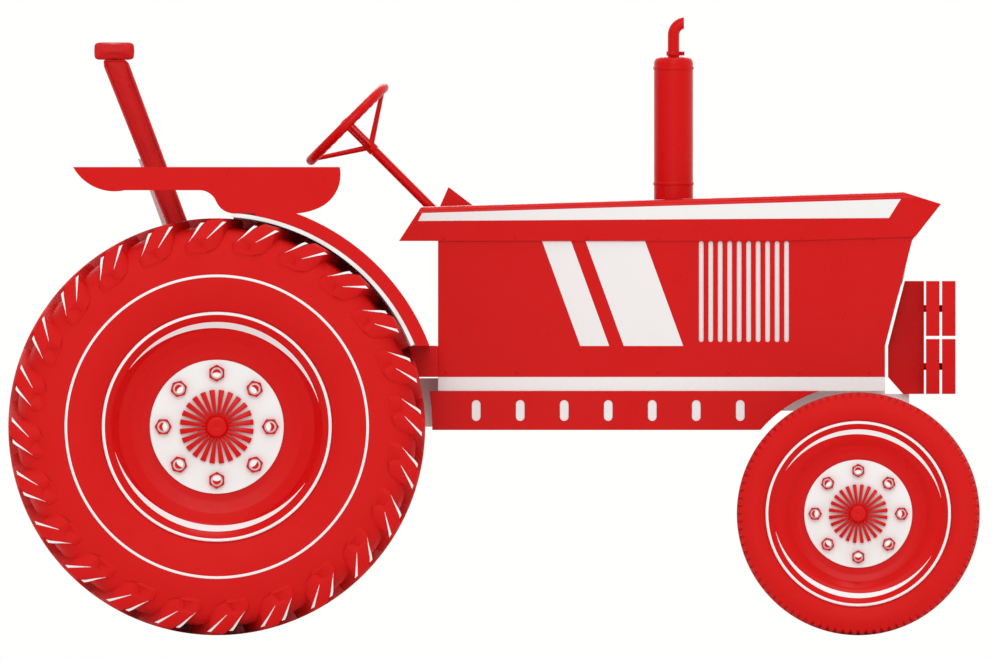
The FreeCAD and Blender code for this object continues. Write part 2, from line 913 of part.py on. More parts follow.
def fender_walls():
    # The upright sheets on the platform. They end behind the tyres and under the flat tops.
    outer = band_outer - fender_sheet / 2
    inner = rear_tyre_radius - wall_tuck
    bottom = sill_height + seat_gap
    start = asin(bottom / outer)
    end = radians(70)
    edge = on_arc(outer, end)
    top = fender_flat + fender_skirt / 3
    near = acos(wall_top_setback / inner)
    far = acos(-wall_rear_reach / inner)
    return both_sides(side_prism([
        (-wall_rear_reach, bottom), on_arc(outer, start), (on_arc(outer, (start + end) / 2), edge),
        (edge[0], top), (wall_top_setback, top), on_arc(inner, near),
        (on_arc(inner, (near + far) / 2), on_arc(inner, far))],
        fender_inner - fender_sheet, fender_inner - seat_gap))


def back_rear(z):
    # The rear face of the seat's back at a height.
    return back_top_rear + (back_top - z) * tan(radians(back_lean))


def seat_frame():
    rear = seat_front - cushion_length
    front = platform_rear - seat_column_gap
    half = seat_half_width - seat_pan_inset
    pan_rear = rear - seat_pan_reach
    foot = box(rear - 20, front, -seat_foot_half, seat_foot_half, case_top, case_top + seat_foot_thickness)
    column = box(front - seat_column_length, front, -seat_column_half, seat_column_half, case_top, seat_pan_height)
    pan = box(pan_rear, seat_front - seat_pan_inset, -half, half, seat_pan_height, seat_pan_height + seat_pan_sheet)
    low = back_base + spine_low
    high = back_top - spine_high
    spine = side_prism([
        (pan_rear, seat_pan_height), (pan_rear + spine_foot, seat_pan_height), (back_rear(low), low),
        (back_rear(high), high), (back_rear(high) - spine_sheet, high), (back_rear(low) - spine_sheet - 8, low)],
        -spine_half_width, spine_half_width)
    return joined([foot, column, pan, spine])


def seat_cushion():
    bottom = seat_pan_height + seat_pan_sheet + seat_gap
    return box(seat_front - cushion_length, seat_front, -seat_half_width, seat_half_width,
               bottom, seat_pan_height + cushion_height)


def seat_back():
    rear_low = back_rear(back_base) + seat_gap
    pad = side_prism([
        (rear_low, back_base), (rear_low + back_depth - 20, back_base), (back_rear(back_top) + back_depth, back_top),
        (back_rear(back_top) + seat_gap, back_top)], -seat_half_width, seat_half_width)
    start = back_top_rear + (back_depth - roll_depth) / 2
    half = seat_half_width + roll_overhang
    return joined([pad, box(start, start + roll_depth, -half, half, back_top, back_top + roll_height)])


def controls():
    # Clutch and brake pedals on the platform, and the gear and hitch levers.
    foot_x = cowl_rear - pedal_setback
    top = sill_height + pedal_height
    parts = []
    for y in (-brake_spacing, -brake_spacing + pedal_pitch, clutch_spacing):
        arm = side_prism([
            (foot_x, sill_height), (foot_x + pedal_arm_width, sill_height), (foot_x - pedal_lean + 20, top),
            (foot_x - pedal_lean, top - 10)], y - pedal_arm_half, y + pedal_arm_half)
        pad = side_prism([
            (foot_x - pedal_lean - 16, top - 14), (foot_x - pedal_lean - 8, top - 24),
            (foot_x - pedal_lean + 46, top + 26), (foot_x - pedal_lean + 38, top + 36)],
            y - pedal_half_width, y + pedal_half_width)
        parts.append(joined([arm, pad]))
    # Each lever: its place, its lean and its height.
    for x, y, lean, height in (
            (cowl_rear - gear_setback, gear_spacing, -gear_lean, gear_height),
            (platform_rear + hitch_lever_inset, -hitch_lever_spacing, hitch_lever_lean, hitch_lever_height)):
        foot = vec(x, y, sill_height)
        knob = foot + vec(lean, 0, height)
        boot = vec(0, 0, lever_boot_height)
        parts.append(joined([
            rod(lever_boot_radius, foot, foot + boot), rod(lever_radius, foot + boot / 2, knob),
            Part.makeSphere(knob_radius, knob)]))
    return Part.makeCompound(parts)


# Steering wheel. Its column leans forward and down at 45 degrees.

column_down = vec(1, 0, -1) / sqrt(2)
wheel_middle = vec(steering_x, 0, steering_height)


def down_column(distance):
    return wheel_middle + column_down * distance


def steering_column():
    start = steering_dish + steering_hub_radius
    tube = rod(column_radius, down_column(start), down_column(column_length + column_root))
    tube = tube.cut(hood_outside())
    return tube.cut(rod(column_shaft_radius + running_fit, down_column(start), down_column(start + column_bore_depth)))


def steering_wheel():
    hub = down_column(steering_dish)
    parts = [
        Part.makeTorus(steering_rim_radius, steering_tube_radius, wheel_middle, column_down),
        rod(steering_hub_radius, down_column(steering_dish - 12),
            down_column(steering_dish + steering_hub_radius - seat_gap)),
        rod(column_radius, down_column(-steering_tube_radius), hub),
        rod(column_shaft_radius, hub, down_column(steering_dish + column_bore_depth))]
    sideways = vec(1, 0, 1) / sqrt(2)
    for direction in (sideways, vec(0, 1, 0), sideways * -1, vec(0, -1, 0)):
        parts.append(rod(spoke_radius, hub, wheel_middle + direction * steering_rim_radius))
    return joined(parts)


# Front weights

def weight_bracket():
    # A deep plate in front of the panels, parallel to them.
    top = bracket_bottom + 2 * weight_height + body_gap
    front = front_axle_x + bracket_reach
    slope = (panel_top_front - panel_front) / (panel_top - sill_height)
    return side_prism([
        (panel_front + body_gap + slope * (top - sill_height), top), (front, top), (front, bracket_bottom),
        (panel_front + body_gap + 60, bracket_bottom), (panel_front + body_gap, body_bottom),
        (panel_front + body_gap, sill_height)], -bracket_half_width, bracket_half_width)


def front_weights():
    # Two rows of plates, two high, on cross rods and four long bolts.
    start = front_axle_x + bracket_reach + body_gap - 4
    width = (2 * weight_half_width + weight_gap) / weight_count - weight_gap
    end = start + 2 * weight_thickness + weight_gap
    parts = []
    for level in range(2):
        bottom = bracket_bottom + level * (weight_height + body_gap)
        middle = bottom + weight_height / 2
        for row in range(2):
            x = start + row * (weight_thickness + weight_gap)
            for i in range(weight_count):
                y = i * (width + weight_gap) - weight_half_width
                parts.append(box(x, x + weight_thickness, y, y + width, bottom, bottom + weight_height))
            x += weight_thickness / 2
            parts.append(rod(weight_bolt_radius, vec(x, -weight_half_width, middle), vec(x, weight_half_width, middle)))
        for y in (-bracket_half_width * 0.9, bracket_half_width * 0.9):
            parts.append(rod(weight_bolt_radius, vec(front_axle_x + bracket_reach, y, middle), vec(end, y, middle)))
    return joined(parts)


# Front axle, knuckles and steering linkage

beam_top = axle_pivot_z + 50
beam_bottom = beam_top - beam_height
plate_bottom = linkage_z - steering_plate / 2
plate_top = linkage_z + steering_plate / 2
linkage_x = front_axle_x - steering_arm
post_radius = 28
collar_radius = 46


def front_axle():
    x = front_axle_x
    k = kingpin_half
    parts = [
        front_prism([
            (-k, beam_bottom), (-k, beam_top), (k, beam_top), (k, beam_bottom), (k - 80, beam_bottom),
            (k / 2, beam_bottom - beam_belly), (-k / 2, beam_bottom - beam_belly), (80 - k, beam_bottom)],
            x - beam_depth / 2, vec(beam_depth, 0, 0)),
        rod(trunnion_radius, vec(x - trunnion_half, 0, axle_pivot_z), vec(x + trunnion_half, 0, axle_pivot_z)),
        rod(post_radius, vec(x, 0, beam_top), vec(x, 0, plate_top + tie_eye_height))]
    for y in (-k, k):
        parts.append(rod(boss_radius, vec(x, y, beam_bottom), vec(x, y, beam_top)))
    body = joined(parts)
    for y in (-k, k):
        body = body.cut(rod(kingpin_radius + running_fit, vec(x, y, beam_bottom), vec(x, y, beam_top)))
    return body.cut(rod(pivot_pin_radius + running_fit, vec(x - trunnion_half, 0, axle_pivot_z),
                        vec(x + trunnion_half, 0, axle_pivot_z)))


def steering_arm_at(y, above, below):
    # A flat arm behind the pin at y, with a tie rod's pin above or below its end.
    parts = [
        box(linkage_x, front_axle_x, y - 22, y + 22, plate_bottom, plate_top),
        rod(tie_eye_radius, vec(linkage_x, y, plate_bottom), vec(linkage_x, y, plate_top))]
    high = plate_top + tie_eye_height if above else plate_top
    low = plate_bottom - tie_eye_height if below else plate_bottom
    parts.append(rod(tie_pin_radius, vec(linkage_x, y, low), vec(linkage_x, y, high)))
    return parts


def knuckle(pin_above):
    # Made for the left side.
    x = front_axle_x
    y = kingpin_half
    z = front_axle_z
    parts = [
        rod(kingpin_radius, vec(x, y, z - 40), vec(x, y, plate_top)),
        rod(collar_radius, vec(x, y, z - 50), vec(x, y, beam_bottom - turning_gap)),
        rod(collar_radius, vec(x, y, beam_top + turning_gap), vec(x, y, plate_top)),
        rod(front_shaft_radius, vec(x, y, z), vec(x, front_wheel.face, z))]
    return joined(parts + steering_arm_at(y, pin_above, not pin_above))


def centre_arm():
    collar = rod(collar_radius - 2, vec(front_axle_x, 0, plate_bottom), vec(front_axle_x, 0, plate_top))
    body = joined([collar] + steering_arm_at(0, True, True))
    return body.cut(rod(post_radius + running_fit, vec(front_axle_x, 0, plate_bottom), vec(front_axle_x, 0, plate_top)))


def tie_rod(side, above):
    bottom = plate_top + seat_gap if above else plate_bottom - seat_gap - tie_eye_height
    top = bottom + tie_eye_height
    middle = (bottom + top) / 2
    ends = (0, side * kingpin_half)
    parts = [rod(tie_rod_radius, vec(linkage_x, 0, middle), vec(linkage_x, ends[1], middle))]
    parts += [rod(tie_eye_radius, vec(linkage_x, y, bottom), vec(linkage_x, y, top)) for y in ends]
    body = joined(parts)
    for y in ends:
        body = body.cut(rod(tie_pin_radius + running_fit, vec(linkage_x, y, bottom), vec(linkage_x, y, top)))
    return body


# Rear hitch

def lift_arms():
    # The arms lie parallel to the lower links, so that rods, arms and links make parallelograms.
    z = lift_pivot_z
    tip = link_pivot_x - lift_arm_length
    shaft_end = lift_arm_half + lift_shaft_reach
    parts = [rod(lift_shaft_radius, vec(link_pivot_x, -shaft_end, z), vec(link_pivot_x, shaft_end, z))]
    y0 = lift_arm_half - lift_arm_thickness / 2
    y1 = y0 + lift_arm_thickness
    arm = side_prism([
        (link_pivot_x, z + lift_arm_root), (tip, z + lift_arm_tip), (tip, z - lift_arm_tip),
        (link_pivot_x, z - lift_arm_root)], y0, y1)
    hub = rod(lift_hub_radius, vec(link_pivot_x, y0, z), vec(link_pivot_x, y1, z))
    eye = rod(lift_eye_radius, vec(tip, y0, z), vec(tip, y1, z))
    pin = rod(lift_pin_radius, vec(tip, y1, z), vec(tip, lift_rod_half + lift_eye_thickness / 2 + 2, z))
    for piece in (arm, hub, eye, pin):
        parts += [piece, across(piece)]
    return joined(parts)


def link_place(share):
    # A place along the left lower link, from its front pivot to its ball end.
    y = link_pivot_half + (link_ball_half - link_pivot_half) * share
    return vec(link_pivot_x - link_length * share, y, link_pivot_z)


def lower_link():
    start = link_place(0)
    end = link_place(1)
    lift = link_place(lift_arm_length / link_length)
    side = vec(0, link_half_thickness, 0)
    up = vec(0, 0, link_half_height)
    bar = polygon([start - side - up, start + side - up, start + side + up, start - side + up]).extrude(end - start)
    wide = vec(0, ball_half_width, 0)
    pin_end = vec(lift.x, lift_rod_half + lift_eye_thickness / 2 + 2, lift.z)
    body = joined([
        bar, rod(link_eye_radius, start - wide * 0.8, start + wide * 0.8), rod(ball_radius, end - wide, end + wide),
        rod(lift_pin_radius, lift, pin_end)])
    body = body.cut(rod(link_pin_radius + running_fit, start - wide, start + wide))
    return body.cut(rod(ball_bore_radius, end - wide, end + wide))


def lift_rod():
    x = link_pivot_x - lift_arm_length
    y = lift_rod_half
    half = vec(0, lift_eye_thickness / 2, 0)
    ends = [vec(x, y, link_pivot_z), vec(x, y, lift_pivot_z)]
    middle = (ends[0] + ends[1]) / 2
    parts = [
        rod(lift_rod_radius, ends[0] + vec(0, 0, lift_eye_radius - 8), ends[1] - vec(0, 0, lift_eye_radius - 8)),
        rod(lift_sleeve_radius, middle - vec(0, 0, lift_sleeve_half), middle + vec(0, 0, lift_sleeve_half))]
    parts += [rod(lift_eye_radius, end - half, end + half) for end in ends]
    body = joined(parts)
    for end in ends:
        body = body.cut(rod(lift_pin_radius + running_fit, end - half, end + half))
    return body


def link_brackets():
    # A hanger under the case, with a pin for each lower link.
    half = link_pivot_half - hanger_gap
    hanger = box(link_pivot_x - hanger_half_length, link_pivot_x + hanger_half_length, -half, half,
                 link_pivot_z - hanger_drop, case_bottom)
    pins = [
        rod(link_pin_radius, vec(link_pivot_x, side * (half - hanger_gap), link_pivot_z),
            vec(link_pivot_x, side * (link_pivot_half + link_pin_reach), link_pivot_z))
        for side in (-1, 1)]
    return joined([hanger] + pins)


def drawbar():
    bottom = drawbar_top - drawbar_thickness
    bar = box(drawbar_rear, drawbar_front, -drawbar_half_width, drawbar_half_width, bottom, drawbar_top)
    stem = box(drawbar_front - drawbar_stem_length, drawbar_front, -drawbar_stem_half, drawbar_stem_half,
               bottom, case_bottom)
    x = drawbar_rear + drawbar_pin_inset
    return joined([bar, stem]).cut(rod(drawbar_pin_radius, vec(x, 0, bottom), vec(x, 0, drawbar_top)))


def power_takeoff():
    # The output shaft, its round cover plate and the guard over them.
    z = power_shaft_z
    plate_end = case_rear - 20
    cover = rod(70, vec(case_rear, 0, z), vec(plate_end, 0, z))
    shaft = rod(power_shaft_radius, vec(case_rear, 0, z), vec(plate_end - power_shaft_length, 0, z))
    guard = box(case_rear - 120, case_rear, -105, 105, z - 20, z + 105)
    guard = guard.cut(box(case_rear - 121, case_rear, -97, 97, z - 21, z + 97))
    return joined([cover, shaft, guard, box(case_rear - 8, case_rear, -105, 105, z - 20, z + 105)])


def top_link_bracket():
    # Two ears with a hole for the top link's pin.
    z = top_link_z
    half = top_link_gap / 2 + 19
    body = side_prism([
        (case_rear, z - 45), (case_rear, z + 45), (case_rear - 42, z + 32), ((case_rear - 74, z), (case_rear - 42, z - 32))],
        -half, half)
    gap = box(case_rear - 75, case_rear - 12, -top_link_gap / 2, top_link_gap / 2, z - 46, z + 46)
    pin = rod(top_link_pin_radius, vec(case_rear - 42, -half, z), vec(case_rear - 42, half, z))
    return body.cut(gap).cut(pin)


def all_pieces():
    pieces = {}
    for make in (engine_block, transmission_housing, rear_axle_housings, front_bolster, side_rails, hood,
                 side_panels, side_stripes, grille_screens, front_grille, headlamps, cowl, visor, muffler,
                 exhaust_pipe, platform, fenders, fender_walls, seat_frame, seat_cushion, seat_back, controls,
                 steering_column, steering_wheel, weight_bracket, front_weights, front_axle, centre_arm,
                 lift_arms, link_brackets, drawbar, power_takeoff, top_link_bracket):
        pieces[make.__name__] = make()
    for make in (rear_tyre, rear_rim, rear_hub, front_tyre, front_rim, front_hub, lower_link, lift_rod):
        shape = make()
        pieces[make.__name__ + "_left"] = shape
        pieces[make.__name__ + "_right"] = across(shape)
    pieces["knuckle_left"] = knuckle(False)
    pieces["knuckle_right"] = across(knuckle(True))
    pieces["tie_rod_left"] = tie_rod(1, False)
    pieces["tie_rod_right"] = tie_rod(-1, True)
    return pieces


os.makedirs("parts", exist_ok=True)
for name, shape in all_pieces().items():
    shape.translate(origin)
    shape.exportStep("parts/" + name + ".step")
    print(name, len(shape.Solids), round(shape.Volume / 1e6, 2), shape.isValid())
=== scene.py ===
import bpy
import bmesh
import itertools
from math import acos, asin, cos, exp, hypot, pi, radians, sin, sqrt
from mathutils import Matrix, Vector


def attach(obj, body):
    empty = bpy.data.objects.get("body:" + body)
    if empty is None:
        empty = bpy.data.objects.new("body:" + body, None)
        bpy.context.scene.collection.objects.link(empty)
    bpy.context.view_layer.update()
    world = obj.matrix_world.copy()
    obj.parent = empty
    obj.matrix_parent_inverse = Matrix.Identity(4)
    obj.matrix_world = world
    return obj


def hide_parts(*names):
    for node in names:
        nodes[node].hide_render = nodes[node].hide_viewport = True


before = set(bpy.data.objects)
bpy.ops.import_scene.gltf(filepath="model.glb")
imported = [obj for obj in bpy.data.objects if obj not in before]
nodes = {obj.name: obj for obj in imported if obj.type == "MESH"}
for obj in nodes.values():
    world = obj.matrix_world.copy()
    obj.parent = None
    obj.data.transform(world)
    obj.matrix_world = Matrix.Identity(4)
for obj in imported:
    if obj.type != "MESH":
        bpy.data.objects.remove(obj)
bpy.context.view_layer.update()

# Looks for the farm tractor. Metres, X to its front, Y to its left, Z up from the ground.

scene = bpy.context.scene
sides = {"left": 1, "right": -1}


# node trees

def addNode(tree, kind, links=None, **settings):
    # links: a socket's name or number -> a value, or the socket it is fed from
    node = tree.nodes.new(kind)
    for key, value in settings.items():
        setattr(node, key, value)
    for key, value in (links or {}).items():
        if isinstance(value, bpy.types.NodeSocket):
            tree.links.new(value, node.inputs[key])
        else:
            node.inputs[key].default_value = value
    return node


def doMath(tree, operation, first, second=0.0):
    return addNode(tree, "ShaderNodeMath", {0: first, 1: second}, operation=operation).outputs[0]


def plus(tree, first, second):
    return doMath(tree, "ADD", first, second)


def times(tree, first, second):
    return doMath(tree, "MULTIPLY", first, second)


def doVector(tree, operation, first, second=(0, 0, 0)):
    node = addNode(tree, "ShaderNodeVectorMath", {0: first, 1: second}, operation=operation)
    return node.outputs["Value"] if operation in ("LENGTH", "DOT_PRODUCT") else node.outputs[0]


def spread(tree, value, low, high, outLow=0.0, outHigh=1.0):
    return addNode(tree, "ShaderNodeMapRange", {
        "Value": value, "From Min": low, "From Max": high,
        "To Min": outLow, "To Max": outHigh}).outputs["Result"]


def blendColours(tree, share, first, second):
    return addNode(tree, "ShaderNodeMix", {0: share, 6: first, 7: second}, data_type="RGBA").outputs[2]


def bumped(tree, height, distance, **more):
    return addNode(tree, "ShaderNodeBump", {"Height": height, "Distance": distance, **more}).outputs["Normal"]


def startMaterial(name):
    material = bpy.data.materials.new(name)
    material.use_nodes = True
    tree = material.node_tree
    tree.nodes.clear()
    return material, tree, addNode(tree, "ShaderNodeTexCoord").outputs["Object"]


def finishMaterial(tree, inputs):
    shader = addNode(tree, "ShaderNodeBsdfPrincipled", inputs)
    addNode(tree, "ShaderNodeOutputMaterial", {"Surface": shader.outputs[0]})


# finishes

finishes = dict(
    red=(0.600, 0.0, 0.0, 1), redDusty=(0.50, 0.022, 0.016, 1), redDeep=(0.42, 0.0, 0.0, 1),
    white=(0.83, 0.83, 0.82, 1), whiteDusty=(0.74, 0.73, 0.70, 1),
    rubberScuff=(0.50, 0.055, 0.045, 1), steel=(0.62, 0.62, 0.63, 1), steelDark=(0.45, 0.45, 0.46, 1),
    glass=(0.93, 0.95, 0.96, 1), floor=(0.93, 0.93, 0.92, 1), floorPale=(0.97, 0.97, 0.96, 1))

# each noise: scale, detail, roughness, and the range that is read from it
patterns = dict(
    patches=(2.6, 5.0, 0.62, 0.42, 0.78), specks=(52.0, 3.0, 0.5, 0.35, 0.70),
    wear=(34.0, 4.0, 0.65, 0.42, 0.62), cloud=(8.0, 4.0, 0.5, 0.3, 0.7), peel=(240.0, 2.0, 0.5),
    cast=(90.0, 4.0, 0.7), mottle=(6.0, 5.0, 0.6, 0.3, 0.7), scuff=(22.0, 4.0, 0.5, 0.35, 0.65),
    grain=(380.0, 2.0, 0.5), creased=(13.0, 4.0, 0.5, 0.35, 0.75), handled=(60.0, 3.0, 0.5, 0.3, 0.7),
    brushed=(1.0, 3.0, 0.5, 0.3, 0.7), smeared=(30.0, 3.0, 0.5, 0.3, 0.7), paving=(1.4, 4.0, 0.5, 0.2, 0.8))


def noise(tree, place, name):
    scale, detail, roughness = patterns[name][:3]
    return addNode(tree, "ShaderNodeTexNoise",
                   {"Vector": place, "Scale": scale, "Detail": detail, "Roughness": roughness}).outputs["Fac"]


def ranged(tree, value, name, outLow=0.0, outHigh=1.0):
    return spread(tree, value, *patterns[name][3:], outLow, outHigh)


def pattern(tree, place, name, outLow=0.0, outHigh=1.0):
    return ranged(tree, noise(tree, place, name), name, outLow, outHigh)


paint = dict(
    dustBottom=0.1, dustTop=1.6, dustMost=0.75, dustLeast=0.10, speckLeast=0.35, edgeReach=0.003,
    edgeStart=0.97, edgeEnd=0.80, rubbedShare=0.8, dulling=0.3, glossBelow=0.05, glossAbove=0.07, shine=0.16,
    peel=0.00010)


def dustOn(tree, place):
    # dust gathers low down and in patches
    height = addNode(tree, "ShaderNodeSeparateXYZ", {0: place}).outputs["Z"]
    low = spread(tree, height, paint["dustBottom"], paint["dustTop"], paint["dustMost"], paint["dustLeast"])
    patches = pattern(tree, place, "patches")
    specks = pattern(tree, place, "specks", paint["speckLeast"])
    return times(tree, times(tree, low, patches), specks)


def enamelInputs(tree, place, colour, dusty, roughness, peel, grit=0.0, dustShare=0.4):
    # gloss paint with faint orange peel, dulled along its edges; grit is the cast skin under it
    dust = dustOn(tree, place)
    soft = addNode(tree, "ShaderNodeBevel", {"Radius": paint["edgeReach"]}, samples=4).outputs[0]
    flat = addNode(tree, "ShaderNodeNewGeometry").outputs["True Normal"]
    edge = spread(tree, doVector(tree, "DOT_PRODUCT", soft, flat), paint["edgeStart"], paint["edgeEnd"])
    rubbed = times(tree, edge, pattern(tree, place, "wear"))
    cloud = pattern(tree, place, "cloud", roughness - paint["glossBelow"], roughness + paint["glossAbove"])
    gloss = plus(tree, cloud, times(tree, plus(tree, dust, rubbed), paint["dulling"]))
    surface = noise(tree, place, "peel")
    if grit:
        surface = plus(tree, surface, times(tree, noise(tree, place, "cast"), grit))
    change = doMath(tree, "MAXIMUM", times(tree, dust, dustShare), times(tree, rubbed, paint["rubbedShare"]))
    return {
        "Base Color": blendColours(tree, change, colour, dusty), "Roughness": gloss,
        "Normal": bumped(tree, surface, peel, Normal=soft), "Specular IOR Level": paint["shine"]}


def enamel(name, colour, dusty, roughness, peel=paint["peel"], grit=0.0, dustShare=0.4):
    material, tree, place = startMaterial(name)
    finishMaterial(tree, enamelInputs(tree, place, colour, dusty, roughness, peel, grit, dustShare))
    return material


def radiusIn(tree, place, middle):
    # distance from an axle along Y
    local = doVector(tree, "SUBTRACT", place, middle)
    return doVector(tree, "LENGTH", doVector(tree, "MULTIPLY", local, (1, 0, 1)))


tyreSkin = dict(
    treadStart=0.014, treadEnd=0.002, wornShare=0.55, mottleShare=0.12, ringPitch=800.0, ringShare=0.12,
    smooth=0.55, rough=0.75, relief=0.00035, shine=0.18)


def rubber(name, wheel):
    # moulded rubber: fine grain, faint rings round the axle and a rubbed tread
    skin = tyreSkin
    material, tree, place = startMaterial(name)
    radius = radiusIn(tree, place, (wheel["x"], 0, wheel["z"]))
    tread = spread(tree, radius, wheel["radius"] - skin["treadStart"], wheel["radius"] - skin["treadEnd"])
    mottle = noise(tree, place, "mottle")
    worn = times(tree, tread, pattern(tree, place, "scuff"))
    share = plus(tree, times(tree, worn, skin["wornShare"]), times(tree, mottle, skin["mottleShare"]))
    rings = doMath(tree, "SINE", times(tree, radius, skin["ringPitch"]))
    grain = plus(tree, noise(tree, place, "grain"), times(tree, rings, skin["ringShare"]))
    finishMaterial(tree, {
        "Base Color": blendColours(tree, share, finishes["red"], finishes["rubberScuff"]),
        "Roughness": ranged(tree, mottle, "mottle", skin["smooth"], skin["rough"]),
        "Normal": bumped(tree, grain, skin["relief"]), "Specular IOR Level": skin["shine"]})
    return material


def rimPaintAndHighlights(name, wheel):
    # red enamel with a white ring on the lip, and painted highlights: a white crescent above and below the dish
    material, tree, place = startMaterial(name)
    middle = Vector((wheel["x"], 0, wheel["z"]))
    radius = radiusIn(tree, place, middle)
    white = doMath(tree, "GREATER_THAN", radius, wheel["ring"])
    inside = doMath(tree, "LESS_THAN", radius, wheel["paintedLightCrescent"])
    # painted highlight: white inside the crescent radius and outside a circle shifted off the axle
    for angle in wheel["paintedHighlightAngles"]:
        aside = Vector(onWheel(radians(angle), -wheel["paintedLightShift"]))
        beyond = doMath(tree, "GREATER_THAN", radiusIn(tree, place, middle + aside), wheel["paintedLightCut"])
        white = doMath(tree, "MAXIMUM", white, times(tree, inside, beyond))
    colour = blendColours(tree, white, finishes["red"], finishes["white"])
    dusty = blendColours(tree, white, finishes["redDusty"], finishes["whiteDusty"])
    finishMaterial(tree, enamelInputs(tree, place, colour, dusty, 0.30, paint["peel"]))
    return material


hide = dict(cells=420.0, creaseWidth=0.12, creaseShare=0.4, smooth=0.42, rough=0.55, relief=0.0003, depth=0.8,
            shine=0.25, sheen=0.05)


def vinyl(name, colour, deep):
    # grained upholstery vinyl
    material, tree, place = startMaterial(name)
    cells = addNode(tree, "ShaderNodeTexVoronoi", {"Vector": place, "Scale": hide["cells"]},
                    feature="DISTANCE_TO_EDGE").outputs[0]
    creases = spread(tree, cells, 0.0, hide["creaseWidth"])
    darker = pattern(tree, place, "creased", 0.0, hide["creaseShare"])
    finishMaterial(tree, {
        "Base Color": blendColours(tree, darker, colour, deep),
        "Roughness": pattern(tree, place, "handled", hide["smooth"], hide["rough"]),
        "Normal": bumped(tree, creases, hide["relief"], Strength=hide["depth"]),
        "Specular IOR Level": hide["shine"], "Sheen Weight": hide["sheen"]})
    return material


turnedSteel = dict(stretch=(40.0, 900.0, 40.0), smooth=0.26, rough=0.42, relief=0.00006)


def steel(name):
    # bare turned steel, lightly brushed
    material, tree, place = startMaterial(name)
    lines = noise(tree, doVector(tree, "MULTIPLY", place, turnedSteel["stretch"]), "brushed")
    finishMaterial(tree, {
        "Base Color": blendColours(tree, lines, finishes["steel"], finishes["steelDark"]), "Metallic": 1.0,
        "Roughness": ranged(tree, lines, "brushed", turnedSteel["smooth"], turnedSteel["rough"]),
        "Normal": bumped(tree, lines, turnedSteel["relief"])})
    return material


lensGlass = dict(clear=0.85, bending=1.45, flutePitch=520.0, smooth=0.03, rough=0.08, relief=0.0012)


def lampGlass(name):
    # clear fluted glass
    material, tree, place = startMaterial(name)
    width = addNode(tree, "ShaderNodeSeparateXYZ", {0: place}).outputs["Y"]
    flutes = doMath(tree, "SINE", times(tree, width, lensGlass["flutePitch"]))
    finishMaterial(tree, {
        "Base Color": finishes["glass"], "Transmission Weight": lensGlass["clear"],
        "IOR": lensGlass["bending"],
        "Roughness": pattern(tree, place, "smeared", lensGlass["smooth"], lensGlass["rough"]),
        "Normal": bumped(tree, flutes, lensGlass["relief"])})
    return material


redEnamel = enamel("redEnamel", finishes["red"], finishes["redDusty"], 0.30)
redCasting = enamel("redCasting", finishes["red"], finishes["redDusty"], 0.46, 0.0005, 1.2)
whiteEnamel = enamel("whiteEnamel", finishes["white"], finishes["whiteDusty"], 0.32, dustShare=0.25)
whiteCasting = enamel("whiteCasting", finishes["white"], finishes["whiteDusty"], 0.50, 0.0006, 1.6)
redVinyl = vinyl("redVinyl", finishes["red"], finishes["redDeep"])
bareSteel = steel("bareSteel")
clearGlass = lampGlass("lampGlass")

print("finishes: paint, rubber, vinyl, steel and glass")


# meshes

def makeMesh(name, points, faces, angle=35.0):
    # doubles merged, faces outward, smooth but for edges sharper than the angle
    mesh = bpy.data.meshes.new(name)
    mesh.from_pydata([tuple(p) for p in points], [], faces)
    form = bmesh.new()
    form.from_mesh(mesh)
    bmesh.ops.remove_doubles(form, verts=form.verts, dist=0.00002)
    bmesh.ops.recalc_face_normals(form, faces=form.faces)
    form.to_mesh(mesh)
    form.free()
    mesh.shade_smooth()
    mesh.set_sharp_from_angle(angle=radians(angle))
    return mesh


def makeObject(name, mesh, material=None):
    piece = bpy.data.objects.new(name, mesh)
    scene.collection.objects.link(piece)
    if material:
        mesh.materials.clear()
        mesh.materials.append(material)
    return piece


def emptyPiece(name):
    return makeObject(name, bpy.data.meshes.new(name))


def joinMeshes(name, meshes, angle=35.0):
    form = bmesh.new()
    for mesh in meshes:
        form.from_mesh(mesh)
    joined = bpy.data.meshes.new(name)
    form.to_mesh(joined)
    form.free()
    joined.shade_smooth()
    joined.set_sharp_from_angle(angle=radians(angle))
    return joined


def settle(piece):
    # modifiers into a plain mesh
    bpy.context.view_layer.update()
    graph = bpy.context.evaluated_depsgraph_get()
    shape = piece.evaluated_get(graph)
    mesh = bpy.data.meshes.new_from_object(shape, preserve_all_data_layers=True, depsgraph=graph)
    piece.modifiers.clear()
    piece.data = mesh
    return piece


def softened(name, mesh, width, segments=2, angle=30.0):
    # a mesh with bevelled edges
    piece = makeObject(name, mesh)
    bevel = piece.modifiers.new("edges", "BEVEL")
    bevel.width = width
    bevel.segments = segments
    bevel.limit_method = "ANGLE"
    bevel.angle_limit = radians(angle)
    settle(piece)
    made = piece.data
    made.shade_smooth()
    made.set_sharp_from_angle(angle=radians(50))
    bpy.data.objects.remove(piece)
    return made


def finished(piece, body, slot, *replaced):
    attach(piece, body)
    if replaced:
        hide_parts(*replaced)
    return piece


def finishJoined(name, meshes, material, slot, *replaced, angle=35.0):
    # loose meshes as one piece of the chassis
    return finished(makeObject(name, joinMeshes(name, meshes, angle), material), "chassis", slot, *replaced)


def rounded(section, reach, steps=4):
    # a closed section with rounded corners: reach is how far back each starts
    result = []
    for i, corner in enumerate(section):
        here = Vector(corner)
        before = Vector(section[i - 1])
        after = Vector(section[(i + 1) % len(section)])
        start = here + (before - here).normalized() * min(reach, (before - here).length * 0.45)
        end = here + (after - here).normalized() * min(reach, (after - here).length * 0.45)
        for k in range(steps + 1):
            t = k / steps
            result.append(tuple(start * (1 - t) ** 2 + here * 2 * t * (1 - t) + end * t ** 2))
    return result


